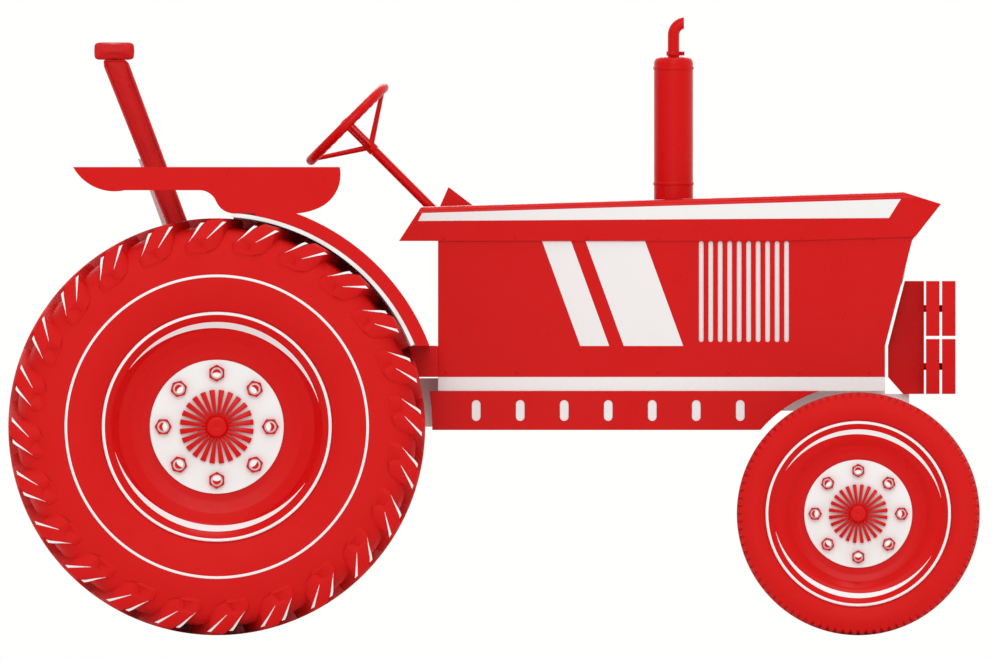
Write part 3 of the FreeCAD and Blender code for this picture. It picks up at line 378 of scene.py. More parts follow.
def loft(rings, looped=False):
    # faces between rings of points, closed at both ends or round in a loop
    points = [p for ring in rings for p in ring]
    count = len(rings[0])
    faces = []
    for i in range(len(rings) if looped else len(rings) - 1):
        far = (i + 1) % len(rings)
        for k in range(count):
            n = (k + 1) % count
            faces.append((i * count + k, i * count + n, far * count + n, far * count + k))
    if not looped:
        faces.append(tuple(range(count)))
        faces.append(tuple(range(len(points) - count, len(points))))
    return points, faces


def onWheel(angle, radius, out=0.0):
    return (radius * cos(angle), out, radius * sin(angle))


def lathe(section, steps):
    # a closed section of (y, radius) turned about the Y axis
    return loft([[onWheel(2 * pi * i / steps, r, y) for y, r in section] for i in range(steps)], looped=True)


def turned(name, section, steps, soft=0.0, cuts=3, angle=35.0):
    # the turned section as a mesh, its corners rounded
    return makeMesh(name, *lathe(rounded(section, soft, cuts) if soft else section, steps), angle)


def rectangle(x0, x1, z0, z1):
    return [(x0, z0), (x1, z0), (x1, z1), (x0, z1)]


def plate(name, outline, near, far, angle=35.0):
    # an outline of (x, z) corners as a solid between two values of y
    return makeMesh(name, *loft([[(x, y, z) for x, z in outline] for y in (near, far)]), angle)


def roundOf(place, across, other, radius, count):
    # a circle of points about a place
    turns = [2 * pi * i / count for i in range(count)]
    return [place + (across * cos(a) + other * sin(a)) * radius for a in turns]


def bar(name, radius, start, end, around, angle=35.0, endRadius=None):
    # a round bar, or a cone, between two places
    start, end = Vector(start), Vector(end)
    along = (end - start).normalized()
    across = along.orthogonal().normalized()
    other = along.cross(across)
    last = radius if endRadius is None else endRadius
    rings = [roundOf(place, across, other, r, around) for place, r in ((start, radius), (end, last))]
    return makeMesh(name, *loft(rings), angle)


def mirrorTo(mesh, side, place):
    # a mesh made for the left side, moved to its place, or mirrored to the right
    mesh.transform(Matrix.Translation(place) @ Matrix.Diagonal((1, side, 1, 1)))
    if side < 0:
        mesh.flip_normals()


def turnedTo(mesh, place, across, along):
    # a mesh made about +Y, moved so that +Y is along and +X is across
    across, along = Vector(across).normalized(), Vector(along).normalized()
    turn = Matrix((across, along, across.cross(along))).transposed().to_4x4()
    mesh.transform(Matrix.Translation(place) @ turn)
    return mesh


# geometry node trees: each sets copies of a piece on points, and makes them real

def startTree(name, *inputs):
    tree = bpy.data.node_groups.new(name, "GeometryNodeTree")
    for label, kind in (("Geometry", "Geometry"), ("Copy", "Object"), *inputs, ("Material", "Material")):
        tree.interface.new_socket(label, in_out="INPUT", socket_type="NodeSocket" + kind)
    tree.interface.new_socket("Geometry", in_out="OUTPUT", socket_type="NodeSocketGeometry")
    return tree, tree.nodes.new("NodeGroupInput").outputs


def finishTree(tree, given, points, rotation):
    copy = addNode(tree, "GeometryNodeObjectInfo", {"Object": given["Copy"], "As Instance": True}).outputs
    copies = addNode(tree, "GeometryNodeInstanceOnPoints",
                     {"Points": points, "Instance": copy["Geometry"], "Rotation": rotation}).outputs[0]
    solid = addNode(tree, "GeometryNodeRealizeInstances", {0: copies}).outputs[0]
    dressed = addNode(tree, "GeometryNodeSetMaterial", {"Geometry": solid, "Material": given["Material"]})
    tree.links.new(dressed.outputs[0], tree.nodes.new("NodeGroupOutput").inputs[0])
    return tree


def ringTree():
    # turned round the Y axis
    tree, given = startTree("copiesRoundAxle", ("Count", "Int"), ("Phase", "Float"))
    points = addNode(tree, "GeometryNodePoints", {"Count": given["Count"]}).outputs[0]
    step = doMath(tree, "DIVIDE", 2 * pi, given["Count"])
    turn = times(tree, addNode(tree, "GeometryNodeInputIndex").outputs[0], step)
    turn = times(tree, plus(tree, turn, given["Phase"]), -1.0)
    return finishTree(tree, given, points, addNode(tree, "ShaderNodeCombineXYZ", {"Y": turn}).outputs[0])


def rowTree():
    # along a straight row, each turned at random about one axis
    tree, given = startTree("copiesInRow", ("Start", "Vector"), ("End", "Vector"), ("Count", "Int"),
                            ("Axis", "Vector"), ("Turn", "Float"), ("Seed", "Int"))
    line = addNode(tree, "GeometryNodeMeshLine", {
        "Count": given["Count"], "Start Location": given["Start"], "Offset": given["End"]},
        mode="END_POINTS").outputs[0]
    # sockets 2, 3 and 8: least, most and seed
    amount = addNode(tree, "FunctionNodeRandomValue", {2: 0.0, 3: given["Turn"], 8: given["Seed"]},
                     data_type="FLOAT").outputs[1]
    rotation = addNode(tree, "ShaderNodeVectorMath", {0: given["Axis"], "Scale": amount}, operation="SCALE")
    return finishTree(tree, given, line, rotation.outputs[0])


def gridTree():
    # on a flat grid; every other one is turned, as on tread plate
    tree, given = startTree("copiesOnGrid", ("Width", "Float"), ("Depth", "Float"), ("Columns", "Int"),
                            ("Rows", "Int"), ("Middle", "Vector"), ("Turn", "Float"))
    grid = addNode(tree, "GeometryNodeMeshGrid", {
        "Size X": given["Width"], "Size Y": given["Depth"],
        "Vertices X": given["Columns"], "Vertices Y": given["Rows"]}).outputs[0]
    moved = addNode(tree, "GeometryNodeSetPosition", {"Geometry": grid, "Offset": given["Middle"]}).outputs[0]
    index = addNode(tree, "GeometryNodeInputIndex").outputs[0]
    column = doMath(tree, "FLOOR", doMath(tree, "DIVIDE", index, given["Rows"]))
    row = doMath(tree, "SUBTRACT", index, times(tree, column, given["Rows"]))
    parity = doMath(tree, "MODULO", plus(tree, row, column), 2.0)
    turn = times(tree, parity, given["Turn"])
    return finishTree(tree, given, moved, addNode(tree, "ShaderNodeCombineXYZ", {"Z": turn}).outputs[0])


def alongTree():
    # along a run of edges, each turned to follow it
    tree, given = startTree("copiesAlong", ("Path", "Object"), ("Spacing", "Float"))
    path = addNode(tree, "GeometryNodeObjectInfo", {"Object": given["Path"]}).outputs["Geometry"]
    curve = addNode(tree, "GeometryNodeMeshToCurve", {"Mesh": path}).outputs[0]
    points = addNode(tree, "GeometryNodeCurveToPoints", {"Curve": curve, "Length": given["Spacing"]},
                     mode="LENGTH").outputs
    return finishTree(tree, given, points["Points"], points["Rotation"])


copiesRoundAxle = ringTree()
copiesInRow = rowTree()
copiesOnGrid = gridTree()
copiesAlong = alongTree()


def grow(piece, tree, copyMesh, material, **values):
    # run a tree, its inputs set by identifier, and add its plain mesh to the piece
    copy = makeObject("copy", copyMesh)
    values = {key[0].upper() + key[1:]: value for key, value in values.items()}
    values.update({"Copy": copy, "Material": material})
    grown = emptyPiece("grown")
    modifier = grown.modifiers.new(tree.name, "NODES")
    modifier.node_group = tree
    for item in tree.interface.items_tree:
        if item.in_out == "INPUT" and item.name in values:
            modifier[item.identifier] = values[item.name]
    settle(grown)
    form = bmesh.new()
    form.from_mesh(piece.data)
    form.from_mesh(grown.data)
    for face in form.faces:
        face.material_index = 0
    mesh = bpy.data.meshes.new(piece.name)
    form.to_mesh(mesh)
    form.free()
    mesh.materials.append(material)
    piece.data = mesh
    bpy.data.objects.remove(copy)
    bpy.data.objects.remove(grown)
    return piece


print("trees: round an axle, in a row, on a grid, along a path")


# wheels: made about their own axle with the outer side towards +Y, then placed

# rim: flange, dish, well and bed are halves of its section, as (way out, radius)
wheels = dict(
    rear=dict(
        # ring: start of the white lip; the crescent values place the white crescents of painted highlight on the
        # rim
        x=-1.109, z=0.834, middle=0.830, radius=0.834, ring=0.448, paintedLightCrescent=0.419, paintedLightShift=0.043,
        paintedLightCut=0.4375, paintedHighlightAngles=(80, 261), face=0.122, front=0.134, disc=0.268, cap=0.148,
        nut=0.060, barrel=0.084, barrelStart=0.050, shaftEnd=-0.540, shaft=0.045,
        flange=[(0.2022, 0.460), (0.2022, 0.446), (0.1872, 0.424)],
        dish=[(0.148, 0.390), (0.128, 0.344), (0.122, 0.298), (0.122, 0.0843), (0.110, 0.0843),
              (0.110, 0.294), (0.117, 0.346), (0.138, 0.396), (0.163, 0.4168)],
        well=[(0.0676, 0.388)], bed=[(0.1932, 0.460), (0.1792, 0.434), (0.0676, 0.398)]),
    front=dict(
        x=1.457, z=0.486, middle=0.790, radius=0.486, ring=0.360, paintedLightCrescent=0.3375, paintedLightShift=0.032,
        paintedLightCut=0.350, paintedHighlightAngles=(80, 261), face=0.056, front=0.068, disc=0.216, cap=0.118,
        nut=0.048, barrel=0.084, barrelStart=-0.0148, shaftEnd=0.058, shaft=0.0297,
        flange=[(0.1056, 0.371), (0.1056, 0.357), (0.0906, 0.335)],
        dish=[(0.082, 0.301), (0.062, 0.2735), (0.056, 0.246), (0.056, 0.0843), (0.044, 0.0843),
              (0.044, 0.242), (0.051, 0.2755), (0.072, 0.307), (0.0792, 0.3278)],
        well=[(0.0338, 0.299)], bed=[(0.0966, 0.371), (0.0826, 0.345), (0.0338, 0.309)]))

rearTyre = dict(
    steps=192, lugs=24, wall=0.2285, ringRadius=0.6035, ringWidth=0.0105, ringSink=0.003, ringRise=0.0015,
    footSpread=0.006, crest=0.004, lugEdge=0.0035, sliverDepth=0.026, sliverRise=0.002,
    # half section: out from the middle, radius
    section=[(0.0676, 0.398), (0.160, 0.424), (0.1795, 0.4345), (0.1935, 0.4605), (0.206, 0.478),
             (0.219, 0.512), (0.2275, 0.556), (0.2285, 0.594), (0.2285, 0.614), (0.2275, 0.652),
             (0.223, 0.697),
             (0.214, 0.736), (0.198, 0.765), (0.172, 0.786), (0.120, 0.797), (0.0, 0.801)],
    # lug: way out, lead of its middle, top radius, foot radius, half width at the top
    lug=[(-0.022, 0.081, 0.829, 0.790, 0.024), (-0.012, 0.077, 0.833, 0.790, 0.027),
         (0.030, 0.060, 0.834, 0.790, 0.028), (0.100, 0.034, 0.834, 0.788, 0.029),
         (0.160, 0.012, 0.834, 0.776, 0.030), (0.190, 0.002, 0.8335, 0.757, 0.030),
         (0.206, -0.008, 0.826, 0.740, 0.032),
         (0.216, -0.024, 0.810, 0.725, 0.034), (0.224, -0.050, 0.782, 0.712, 0.035),
         (0.2285, -0.074, 0.756, 0.705, 0.035), (0.222, -0.092, 0.742, 0.690, 0.034),
         (0.205, -0.106, 0.730, 0.690, 0.033)],
    # white edges beside a bar's end: way round, radius, way out
    slivers=[[[(-0.0488, 0.8185, 0.2085), (-0.063, 0.8045, 0.2165), (-0.0905, 0.771, 0.2245),
               (-0.1145, 0.745, 0.2275)],
              [(-0.0647, 0.8185, 0.2085), (-0.076, 0.8045, 0.2165), (-0.0965, 0.771, 0.2245),
               (-0.1155, 0.744, 0.2275)]],
             [[(0.0223, 0.8205, 0.2085), (0.0075, 0.8045, 0.2165), (-0.0215, 0.774, 0.2245),
               (-0.0411, 0.7539, 0.2275)],
              [(0.0386, 0.8205, 0.2085), (0.020, 0.8045, 0.2165), (-0.015, 0.774, 0.2245),
               (-0.0400, 0.7529, 0.2275)]]])

frontTyre = dict(
    steps=288, scallops=96, scallopDepth=0.006, shoulder=0.079, shoulderRadius=0.465, swell=0.005,
    section=[(0.0338, 0.309), (0.078, 0.338), (0.0826, 0.345), (0.0968, 0.3715), (0.104, 0.380),
             (0.111, 0.394), (0.1145, 0.412), (0.1145, 0.428), (0.1115, 0.446), (0.106, 0.459),
             (0.101, 0.470), (0.092, 0.4775), (0.081, 0.4800), (0.078, 0.479), (0.075, 0.464), (0.063, 0.462),
             (0.060, 0.4825), (0.057, 0.4845), (0.034, 0.4858), (0.031, 0.4840), (0.0285, 0.466), (0.0150, 0.465),
             (0.0125, 0.4845), (0.0095, 0.486), (0.0, 0.486)])

# heights are above the hub's face, and widths are shares of the nut's; the crescent of painted shade on each
# stud's end is drawn on a 60 mm nut
nuts = dict(
    count=8, circle=0.8, steps=48, foot=-0.001, side=0.0195, top=0.024, lip=0.0225, washer=0.010, bevel=1.05,
    hole=0.4, lipWidth=0.0012, studSteps=28,
    stud=[(-0.001, 0), (-0.001, 0.398), (0.0168, 0.398), (0.0168, 0.31), (0.0225, 0.31), (0.0238, 0.28),
          (0.0238, 0)],
    paintedShadeNut=0.060, paintedLightCrescent=0.0168, paintedLightCut=0.0262, paintedLightShift=0.0232, paintedShadeTop=0.0246,
    paintedShadeSteps=20)

caps = dict(
    bossFoot=0.36, bossTop=0.26, bossHeight=0.038, sink=0.001, flutes=24, fluteGap=0.008, core=0.31, root=0.8,
    rootInset=0.02, coreInset=0.004, fluteHeight=0.017, fluteEdge=0.0022, rimSteps=5)


def mirrored(section):
    return [(-y, r) for y, r in reversed(section)]


def rearLug(row):
    # one bar, at the top of the wheel
    spreadOut, crest = rearTyre["footSpread"], rearTyre["crest"]
    rings = []
    for out, lead, top, foot, width in rearTyre["lug"]:
        half = [(top, width - crest), (top - crest, width), (foot, width + spreadOut)]
        corners = [(r, -across) for r, across in reversed(half)] + half
        rings.append([onWheel(pi / 2 - (lead + across) / top, r, row * out) for r, across in corners])
    return softened("lug", makeMesh("lug", *loft(rings), 28), rearTyre["lugEdge"], 2, 24)


def edgeSliver(rows):
    # the tapered edge beside a bar's end, from the crest down the shoulder
    deep, rise = rearTyre["sliverDepth"], rearTyre["sliverRise"]
    rings = []
    for near, far in zip(*rows):
        corners = ((near, 0.0), (far, 0.0), (far, deep), (near, deep))
        rings.append([onWheel(pi / 2 - s / r, r, out - depth + rise) for (s, r, out), depth in corners])
    return makeMesh("sliver", *loft(rings), 30)


def rearTyrePieces():
    steps, lugs = rearTyre["steps"], rearTyre["lugs"]
    tyreRubber = rubber("rearRubber", wheels["rear"])
    half = rearTyre["section"]
    carcass = turned("carcass", half + mirrored(half[:-1]), steps, angle=60)
    tyre = makeObject("rearTyre", carcass, tyreRubber)
    for row, phase in ((1, 0.0), (-1, pi / lugs)):
        grow(tyre, copiesRoundAxle, rearLug(row), tyreRubber, count=lugs, phase=phase)
    low, high = rearTyre["wall"] - rearTyre["ringSink"], rearTyre["wall"] + rearTyre["ringRise"]
    r, wide = rearTyre["ringRadius"], rearTyre["ringWidth"] / 2
    ring = turned("ring", rectangle(low, high, r - wide, r + wide), steps, 0.001, 2)
    marks = makeObject("tyreMarks", ring, whiteEnamel)
    for rows in rearTyre["slivers"]:
        grow(marks, copiesRoundAxle, edgeSliver(rows), whiteEnamel, count=lugs, phase=0.0)
    return tyre, marks


def frontTyrePiece():
    # ribbed tread, with small scallops round each shoulder
    section = frontTyre["section"] + mirrored(frontTyre["section"][:-1])
    points, faces = lathe(section, frontTyre["steps"])
    turn = frontTyre["steps"] // frontTyre["scallops"]
    shaped = []
    for i, (x, y, z) in enumerate(points):
        r = hypot(x, z)
        change = 0.0
        if abs(y) > frontTyre["shoulder"] and r > frontTyre["shoulderRadius"]:
            notch = (i // len(section)) % turn == 0
            change = -frontTyre["scallopDepth"] if notch else frontTyre["swell"]
        shaped.append((x * (1 + change / r), y, z * (1 + change / r)))
    skin = rubber("frontRubber", wheels["front"])
    return makeObject("frontTyre", makeMesh("frontTyre", shaped, faces, 32), skin)


def rimPiece(kind):
    # down the dish's face and up its back, across the well, round the far flange and back under the tyre
    wheel = wheels[kind]
    outer = wheel["flange"] + wheel["dish"] + wheel["well"]
    inner = mirrored(wheel["flange"] + wheel["well"]) + mirrored(wheel["bed"][::-1])
    mesh = turned("rim", outer + inner + wheel["bed"][::-1], 192, 0.006, 3, 40)
    return makeObject("rim", mesh, rimPaintAndHighlights(kind + "RimPaint", wheel))


def hubPiece(kind):
    # disc, barrel and shaft or bore, with a washer and stud end in each nut
    wheel = wheels[kind]
    start, face, front = wheel["barrelStart"], wheel["face"], wheel["front"]
    section = [(wheel["shaftEnd"], 0), (wheel["shaftEnd"], wheel["shaft"]), (start, wheel["shaft"]),
               (start, wheel["barrel"]), (face, wheel["barrel"]), (face, wheel["disc"]),
               (front, wheel["disc"]), (front, 0)]
    hub = makeObject("hub", turned("hub", section, 128, 0.003), whiteEnamel)
    stud = [(front + height, wheel["nut"] * share) for height, share in nuts["stud"]]
    copy = turned("stud", stud, nuts["studSteps"], angle=30)
    copy.transform(Matrix.Translation((wheel["disc"] * nuts["circle"], 0, 0)))
    return grow(hub, copiesRoundAxle, copy, whiteEnamel, count=nuts["count"], phase=0.0)


def nutShell(wheel):
    # a chamfered six-sided nut, a corner outward, open down to its washer
    flat, front, away = wheel["nut"] / 2, wheel["front"], wheel["disc"] * nuts["circle"]
    hole = wheel["nut"] * nuts["hole"]
    rings = []
    for i in range(nuts["steps"]):
        a = 2 * pi * i / nuts["steps"]
        reach = flat / cos(a % (pi / 3) - pi / 6)
        section = ((reach, "foot"), (reach, "side"), (min(reach, flat * nuts["bevel"]), "top"),
                   (hole + nuts["lipWidth"], "top"), (hole, "lip"), (hole, "washer"))
        rings.append([(away + r * cos(a), front + nuts[level], r * sin(a)) for r, level in section])
    return makeMesh("nut", *loft(rings, looped=True), 25)


def studPaintedShade(wheel):
    # the red half moon of painted shade on the stud's end
    share = wheel["nut"] / nuts["paintedShadeNut"]
    r, cut, shift = nuts["paintedLightCrescent"] * share, nuts["paintedLightCut"] * share, nuts["paintedLightShift"] * share
    x = (cut ** 2 - r ** 2 - shift ** 2) / (2 * shift)
    wide, narrow = acos(x / r), asin(sqrt(r ** 2 - x ** 2) / cut)
    steps = nuts["paintedShadeSteps"]
    turns = [2 * i / steps - 1 for i in range(steps + 1)]
    outer = [(r * cos(wide * t), r * sin(wide * t)) for t in turns]
    inner = [(cut * cos(narrow * t) - shift, -cut * sin(narrow * t)) for t in turns[1:-1]]
    away = wheel["disc"] * nuts["circle"]
    return plate("paintedLightCrescent", [(away + across, up) for across, up in outer + inner],
                 wheel["front"] + nuts["lip"], wheel["front"] + nuts["paintedShadeTop"], 30)


def capPiece(kind):
    # fluted cap with its boss, and the wheel nuts
    wheel = wheels[kind]
    cap, low, high = wheel["cap"], wheel["front"] - caps["sink"], wheel["front"] + caps["bossHeight"]
    boss = [(low, 0), (low, cap * caps["bossFoot"]), (high, cap * caps["bossTop"]), (high, 0)]
    piece = makeObject("hubCap", turned("boss", boss, 96, 0.005, 4), redEnamel)
    gap, pitch, core = caps["fluteGap"] / cap, 2 * pi / caps["flutes"], cap * caps["core"]
    cuts = caps["rimSteps"]
    corners = [(core * caps["root"], caps["rootInset"]), (core, caps["coreInset"])]
    corners += [(cap, gap + (pitch - 2 * gap) * i / cuts) for i in range(cuts + 1)]
    corners += [(core, pitch - caps["coreInset"]), (core * caps["root"], pitch - caps["rootInset"])]
    rings = [[onWheel(a, r, out) for r, a in corners] for out in (low, wheel["front"] + caps["fluteHeight"])]
    flute = softened("flute", makeMesh("flute", *loft(rings)), caps["fluteEdge"])
    grow(piece, copiesRoundAxle, flute, redEnamel, count=caps["flutes"], phase=0.0)
    # each nut with the red half moon of painted shade on its stud's end
    nut = joinMeshes("nut", [nutShell(wheel), studPaintedShade(wheel)], 25)
    return grow(piece, copiesRoundAxle, nut, redEnamel, count=nuts["count"], phase=0.0)


def placeWheelPiece(made, name, kind, slot, part=None):
    # one copy for each side of the tractor
    wheel = wheels[kind]
    for sideName, side in sides.items():
        mesh = made.data.copy()
        mirrorTo(mesh, side, (wheel["x"], side * wheel["middle"], wheel["z"]))
        piece = makeObject(kind + name + "_" + sideName, mesh)
        finished(piece, kind + "_wheel_" + sideName, slot, *([part + "_" + sideName] if part else []))
    bpy.data.objects.remove(made)


tyre, marks = rearTyrePieces()
placeWheelPiece(tyre, "Tyre", "rear", "red_tyre", "rear_tyre")
placeWheelPiece(marks, "TyreMarks", "rear", "white_enamel")
placeWheelPiece(frontTyrePiece(), "Tyre", "front", "red_tyre", "front_tyre")
for kind in wheels:
    placeWheelPiece(rimPiece(kind), "Rim", kind, "red_enamel", kind + "_rim")
    placeWheelPiece(hubPiece(kind), "Hub", kind, "white_enamel", kind + "_hub")
    placeWheelPiece(capPiece(kind), "HubCap", kind, "red_enamel")

print("wheels: tyres, rims, hubs and caps")


# seat

# each outline: its lower rear, lower front, upper front and upper rear corners
seat = dict(
    voxel=0.005, pressure=4.0, frames=20,
    cushion=dict(outline=[(-1.160, 1.5335), (-0.760, 1.5335), (-0.760, 1.640), (-1.160, 1.640)], half=0.240,
                 inset=0.009, radius=0.026, cap=0.012, pipeCorner=0.020),
    back=dict(outline=[(-1.273, 1.561), (-1.195, 1.561), (-1.470, 2.303), (-1.568, 2.303)], half=0.240,
              inset=0.0025, radius=0.007, cap=0.006, pipeCorner=0.012),
    roll=dict(outline=[(-1.601, 2.3045), (-1.437, 2.3045), (-1.437, 2.369), (-1.601, 2.369)], half=0.260,
              inset=0.002, radius=0.007, cap=0.005),
    channels=(-0.120, 0.0, 0.120), channelDepth=0.007, channelWidth=0.006,
    pipe=0.0042, pipeInset=0.0045, pipeOut=0.236, stitch=0.0065, stitchRadius=0.0009, stitchShare=0.3,
    edgeStitch=0.224, edgeStitchSink=0.0015, channelStitchSink=0.0075, stitchEnd=0.02)


def insetOutline(outline, inset):
    # each corner moved in from both of its sides
    result = []
    for i, corner in enumerate(outline):
        here = Vector(corner)
        back = (Vector(outline[i - 1]) - here).normalized()
        ahead = (Vector(outline[(i + 1) % len(outline)]) - here).normalized()
        share = inset / sqrt(1 - back.dot(ahead) ** 2)
        result.append(tuple(here + (back + ahead) * share))
    return result


def paddedForm(name, pad):
    # a soft-edged slab swollen by a short cloth run, its points held within the cap
    corners = rounded(insetOutline(pad["outline"], pad["inset"]), pad["radius"], 5)
    reach = pad["half"] - pad["inset"]
    mesh = plate(name, corners, -reach, reach)
    piece = makeObject(name, softened(name, mesh, pad["radius"] * 0.8, 3, 50))
    remesh = piece.modifiers.new("even", "REMESH")
    remesh.mode = "VOXEL"
    remesh.voxel_size = seat["voxel"]
    settle(piece)
    start = [v.co.copy() for v in piece.data.vertices]
    cloth = piece.modifiers.new("swell", "CLOTH")
    cloth.settings.use_pressure = True
    cloth.settings.uniform_pressure_force = seat["pressure"]
    cloth.settings.effector_weights.gravity = 0.0
    cloth.point_cache.frame_start = 1
    cloth.point_cache.frame_end = seat["frames"]
    for number in range(1, seat["frames"] + 1):
        scene.frame_set(number)
    settle(piece)
    scene.frame_set(1)
    for vertex, home in zip(piece.data.vertices, start):
        shift = vertex.co - home
        if shift.length > pad["cap"]:
            vertex.co = home + shift.normalized() * pad["cap"]
    finer = piece.modifiers.new("finer", "SUBSURF")
    finer.levels = 1
    finer.render_levels = 1
    settle(piece)
    piece.data.shade_smooth()
    piece.data.materials.append(redVinyl)
    return piece


def sewChannels(piece, front):
    # press the sewn lines into the face that is turned to the driver
    facing = [vertex.normal.dot(front) > 0.5 for vertex in piece.data.vertices]
    for vertex, inFront in zip(piece.data.vertices, facing):
        if inFront:
            away = [abs(vertex.co.y - y) / seat["channelWidth"] for y in seat["channels"]]
            vertex.co -= front * seat["channelDepth"] * exp(-min(away) ** 2)


def piping(pad, side):
    # a round tube about one side of a pad
    corners = rounded(insetOutline(pad["outline"], seat["pipeInset"]), pad["pipeCorner"], 5)
    path = [Vector((x, side * seat["pipeOut"], z)) for x, z in corners]
    rings = []
    across = None
    for i, here in enumerate(path):
        along = (path[(i + 1) % len(path)] - path[i - 1]).normalized()
        across = (along.orthogonal() if across is None else across - along * across.dot(along)).normalized()
        rings.append(roundOf(here, across, along.cross(across), seat["pipe"], 8))
    return makeMesh("pipe", *loft(rings, looped=True), 80)


def stitchesAlong(piece, start, end):
    line = bpy.data.meshes.new("path")
    line.from_pydata([tuple(start), tuple(end)], [(0, 1)], [])
    path = makeObject("path", line)
    length = seat["stitch"] * seat["stitchShare"]
    stitch = bar("stitch", seat["stitchRadius"], (0, 0, -length), (0, 0, length), 6, 80)
    grow(piece, copiesAlong, stitch, redVinyl, path=path, spacing=seat["stitch"])
    bpy.data.objects.remove(path)


def buildSeat():
    cushion = paddedForm("seatCushion", seat["cushion"])
    finished(cushion, "chassis", "red_vinyl", "seat_cushion")
    back = paddedForm("seatBack", seat["back"])
    foot, head = [Vector((x, 0, z)) for x, z in seat["back"]["outline"][1:3]]
    up = (head - foot).normalized()
    front = Vector((up.z, 0, -up.x))
    sewChannels(back, front)
    finished(back, "chassis", "red_vinyl", "seat_back")
    roll = paddedForm("seatRoll", seat["roll"])
    finished(roll, "chassis", "red_vinyl")
    # piping round both sides of the pads, and stitches beside it and down each sewn line
    tubes = [piping(seat[pad], side) for side in sides.values() for pad in ("back", "cushion")]
    trim = makeObject("seatTrim", joinMeshes("seatTrim", tubes, 80), redVinyl)
    lines = [(side * seat["edgeStitch"], seat["edgeStitchSink"]) for side in sides.values()]
    lines += [(y, seat["channelStitchSink"]) for y in seat["channels"]]
    for y, sink in lines:
        shift = Vector((0, y, 0)) - front * sink
        stitchesAlong(trim, foot + up * seat["stitchEnd"] + shift, head - up * seat["stitchEnd"] + shift)
    finished(trim, "chassis", "red_vinyl")


buildSeat()
print("seat: cushion, back, roll and piping")


# steering wheel: made about +Y, which points down its column

steering = dict(
    place=(-0.5863, 0, 2.0453), ring=0.205, tube=0.020, grips=36, gripDepth=0.0016, dish=0.123, steps=216,
    around=20, spokes=4, spoke=0.0085, spokeRoot=0.0115, spokeStart=0.012, spokeInset=0.004,
    core=[(-0.0225, 0), (-0.0225, 0.0140), (-0.0190, 0.0190), (0.104, 0.0185), (0.110, 0.0225),
          (0.1525, 0.0225), (0.1525, 0.0098), (0.230, 0.0098), (0.230, 0)])


def buildSteeringWheel():
    # ring with finger grips beneath, four spokes and a hub
    steps, around = steering["steps"], steering["around"]
    rings = []
    for i in range(steps):
        a = 2 * pi * i / steps
        ring = []
        for k in range(around):
            b = 2 * pi * k / around
            under = max(0.0, sin(b)) ** 2
            r = steering["tube"] - steering["gripDepth"] * under * (0.5 + 0.5 * cos(steering["grips"] * a))
            ring.append(onWheel(a, steering["ring"] + r * cos(b), r * sin(b)))
        rings.append(ring)
    meshes = [makeMesh("ring", *loft(rings, looped=True), 60), turned("core", steering["core"], 48, 0.003)]
    for i in range(steering["spokes"]):
        a = 2 * pi * i / steering["spokes"]
        start = onWheel(a, steering["spokeStart"], steering["dish"])
        end = onWheel(a, steering["ring"] - steering["spokeInset"])
        meshes.append(bar("spoke", steering["spokeRoot"], start, end, 16, 50, steering["spoke"]))
    mesh = turnedTo(joinMeshes("steeringWheel", meshes, 45), steering["place"], (1, 0, 1), (1, 0, -1))
    piece = makeObject("steeringWheelRim", mesh, redEnamel)
    finished(piece, "steering_wheel", "red_enamel", "steering_wheel")


buildSteeringWheel()


# headlamps: made about +Y, which points ahead out of the grille

lamp = dict(
    x=1.6033, y=0.140, z=1.4422, ahead=(0.9684, 0, -0.2490), steps=64,
    housing=[(-0.030, 0), (-0.030, 0.058), (-0.020, 0.074), (0.018, 0.0775), (0.0215, 0.0815),
             (0.029, 0.0815), (0.034, 0.076), (0.034, 0.0695), (0.028, 0.068), (0.006, 0.056),
             (-0.014, 0.034), (-0.021, 0.012), (-0.021, 0)],
    lens=[(0.0285, 0.0685), (0.033, 0.050), (0.0365, 0.025), (0.0375, 0), (0.0345, 0), (0.0335, 0.025),
          (0.030, 0.049), (0.0255, 0.0675)])


def lampParts(section, soft):
    places = [(lamp["x"], side * lamp["y"], lamp["z"]) for side in sides.values()]
    return [turnedTo(turned("lamp", section, lamp["steps"], soft, 2, 40), place, (0, 1, 0), lamp["ahead"])
            for place in places]


finishJoined("lampBowls", lampParts(lamp["housing"], 0.002), whiteEnamel, "white_enamel", "headlamps",
             angle=40)
finishJoined("lampLenses", lampParts(lamp["lens"], 0.0), clearGlass, "clear_glass", angle=60)
print("steering wheel and headlamps")


# fasteners, in rows

# sizes as shares of the width across flats, and of a screw head's radius
bolt = dict(washer=0.62, washerThickness=0.12, head=0.55, chamfer=0.10, crown=0.86, sink=0.001)
button = [(0.2, 1.0), (0.42, 0.62), (0.45, 0.25), (0.3, 0)]
rowSeeds = itertools.count(8)

# each row: start and end for the left side, and how many
screws = dict(size=0.0065, rows=[((-0.20, 0.304, 1.5905), (1.52, 0.304, 1.5905), 7),
                                 ((-0.19, 0.2957, 1.052), (1.50, 0.2957, 1.052), 7)])
casing = dict(
    rearSize=0.019, flankSize=0.017,
    rear=[((-1.370, -0.205, 0.650), (-1.370, -0.205, 1.095), 5),
          ((-1.370, 0.205, 0.650), (-1.370, 0.205, 1.095), 5),
          ((-1.370, -0.125, 0.645), (-1.370, 0.125, 0.645), 4),
          ((-1.370, -0.125, 1.100), (-1.370, 0.125, 1.100), 4)],
    flank=[((-1.345, 0.230, 0.665), (-1.345, 0.230, 1.080), 4),
           ((-0.785, 0.230, 0.665), (-0.785, 0.230, 1.080), 4)])
axleFlange = dict(near=0.2295, far=0.246, bore=0.120, radius=0.182, bolts=10, circle=0.167, boltSize=0.021)


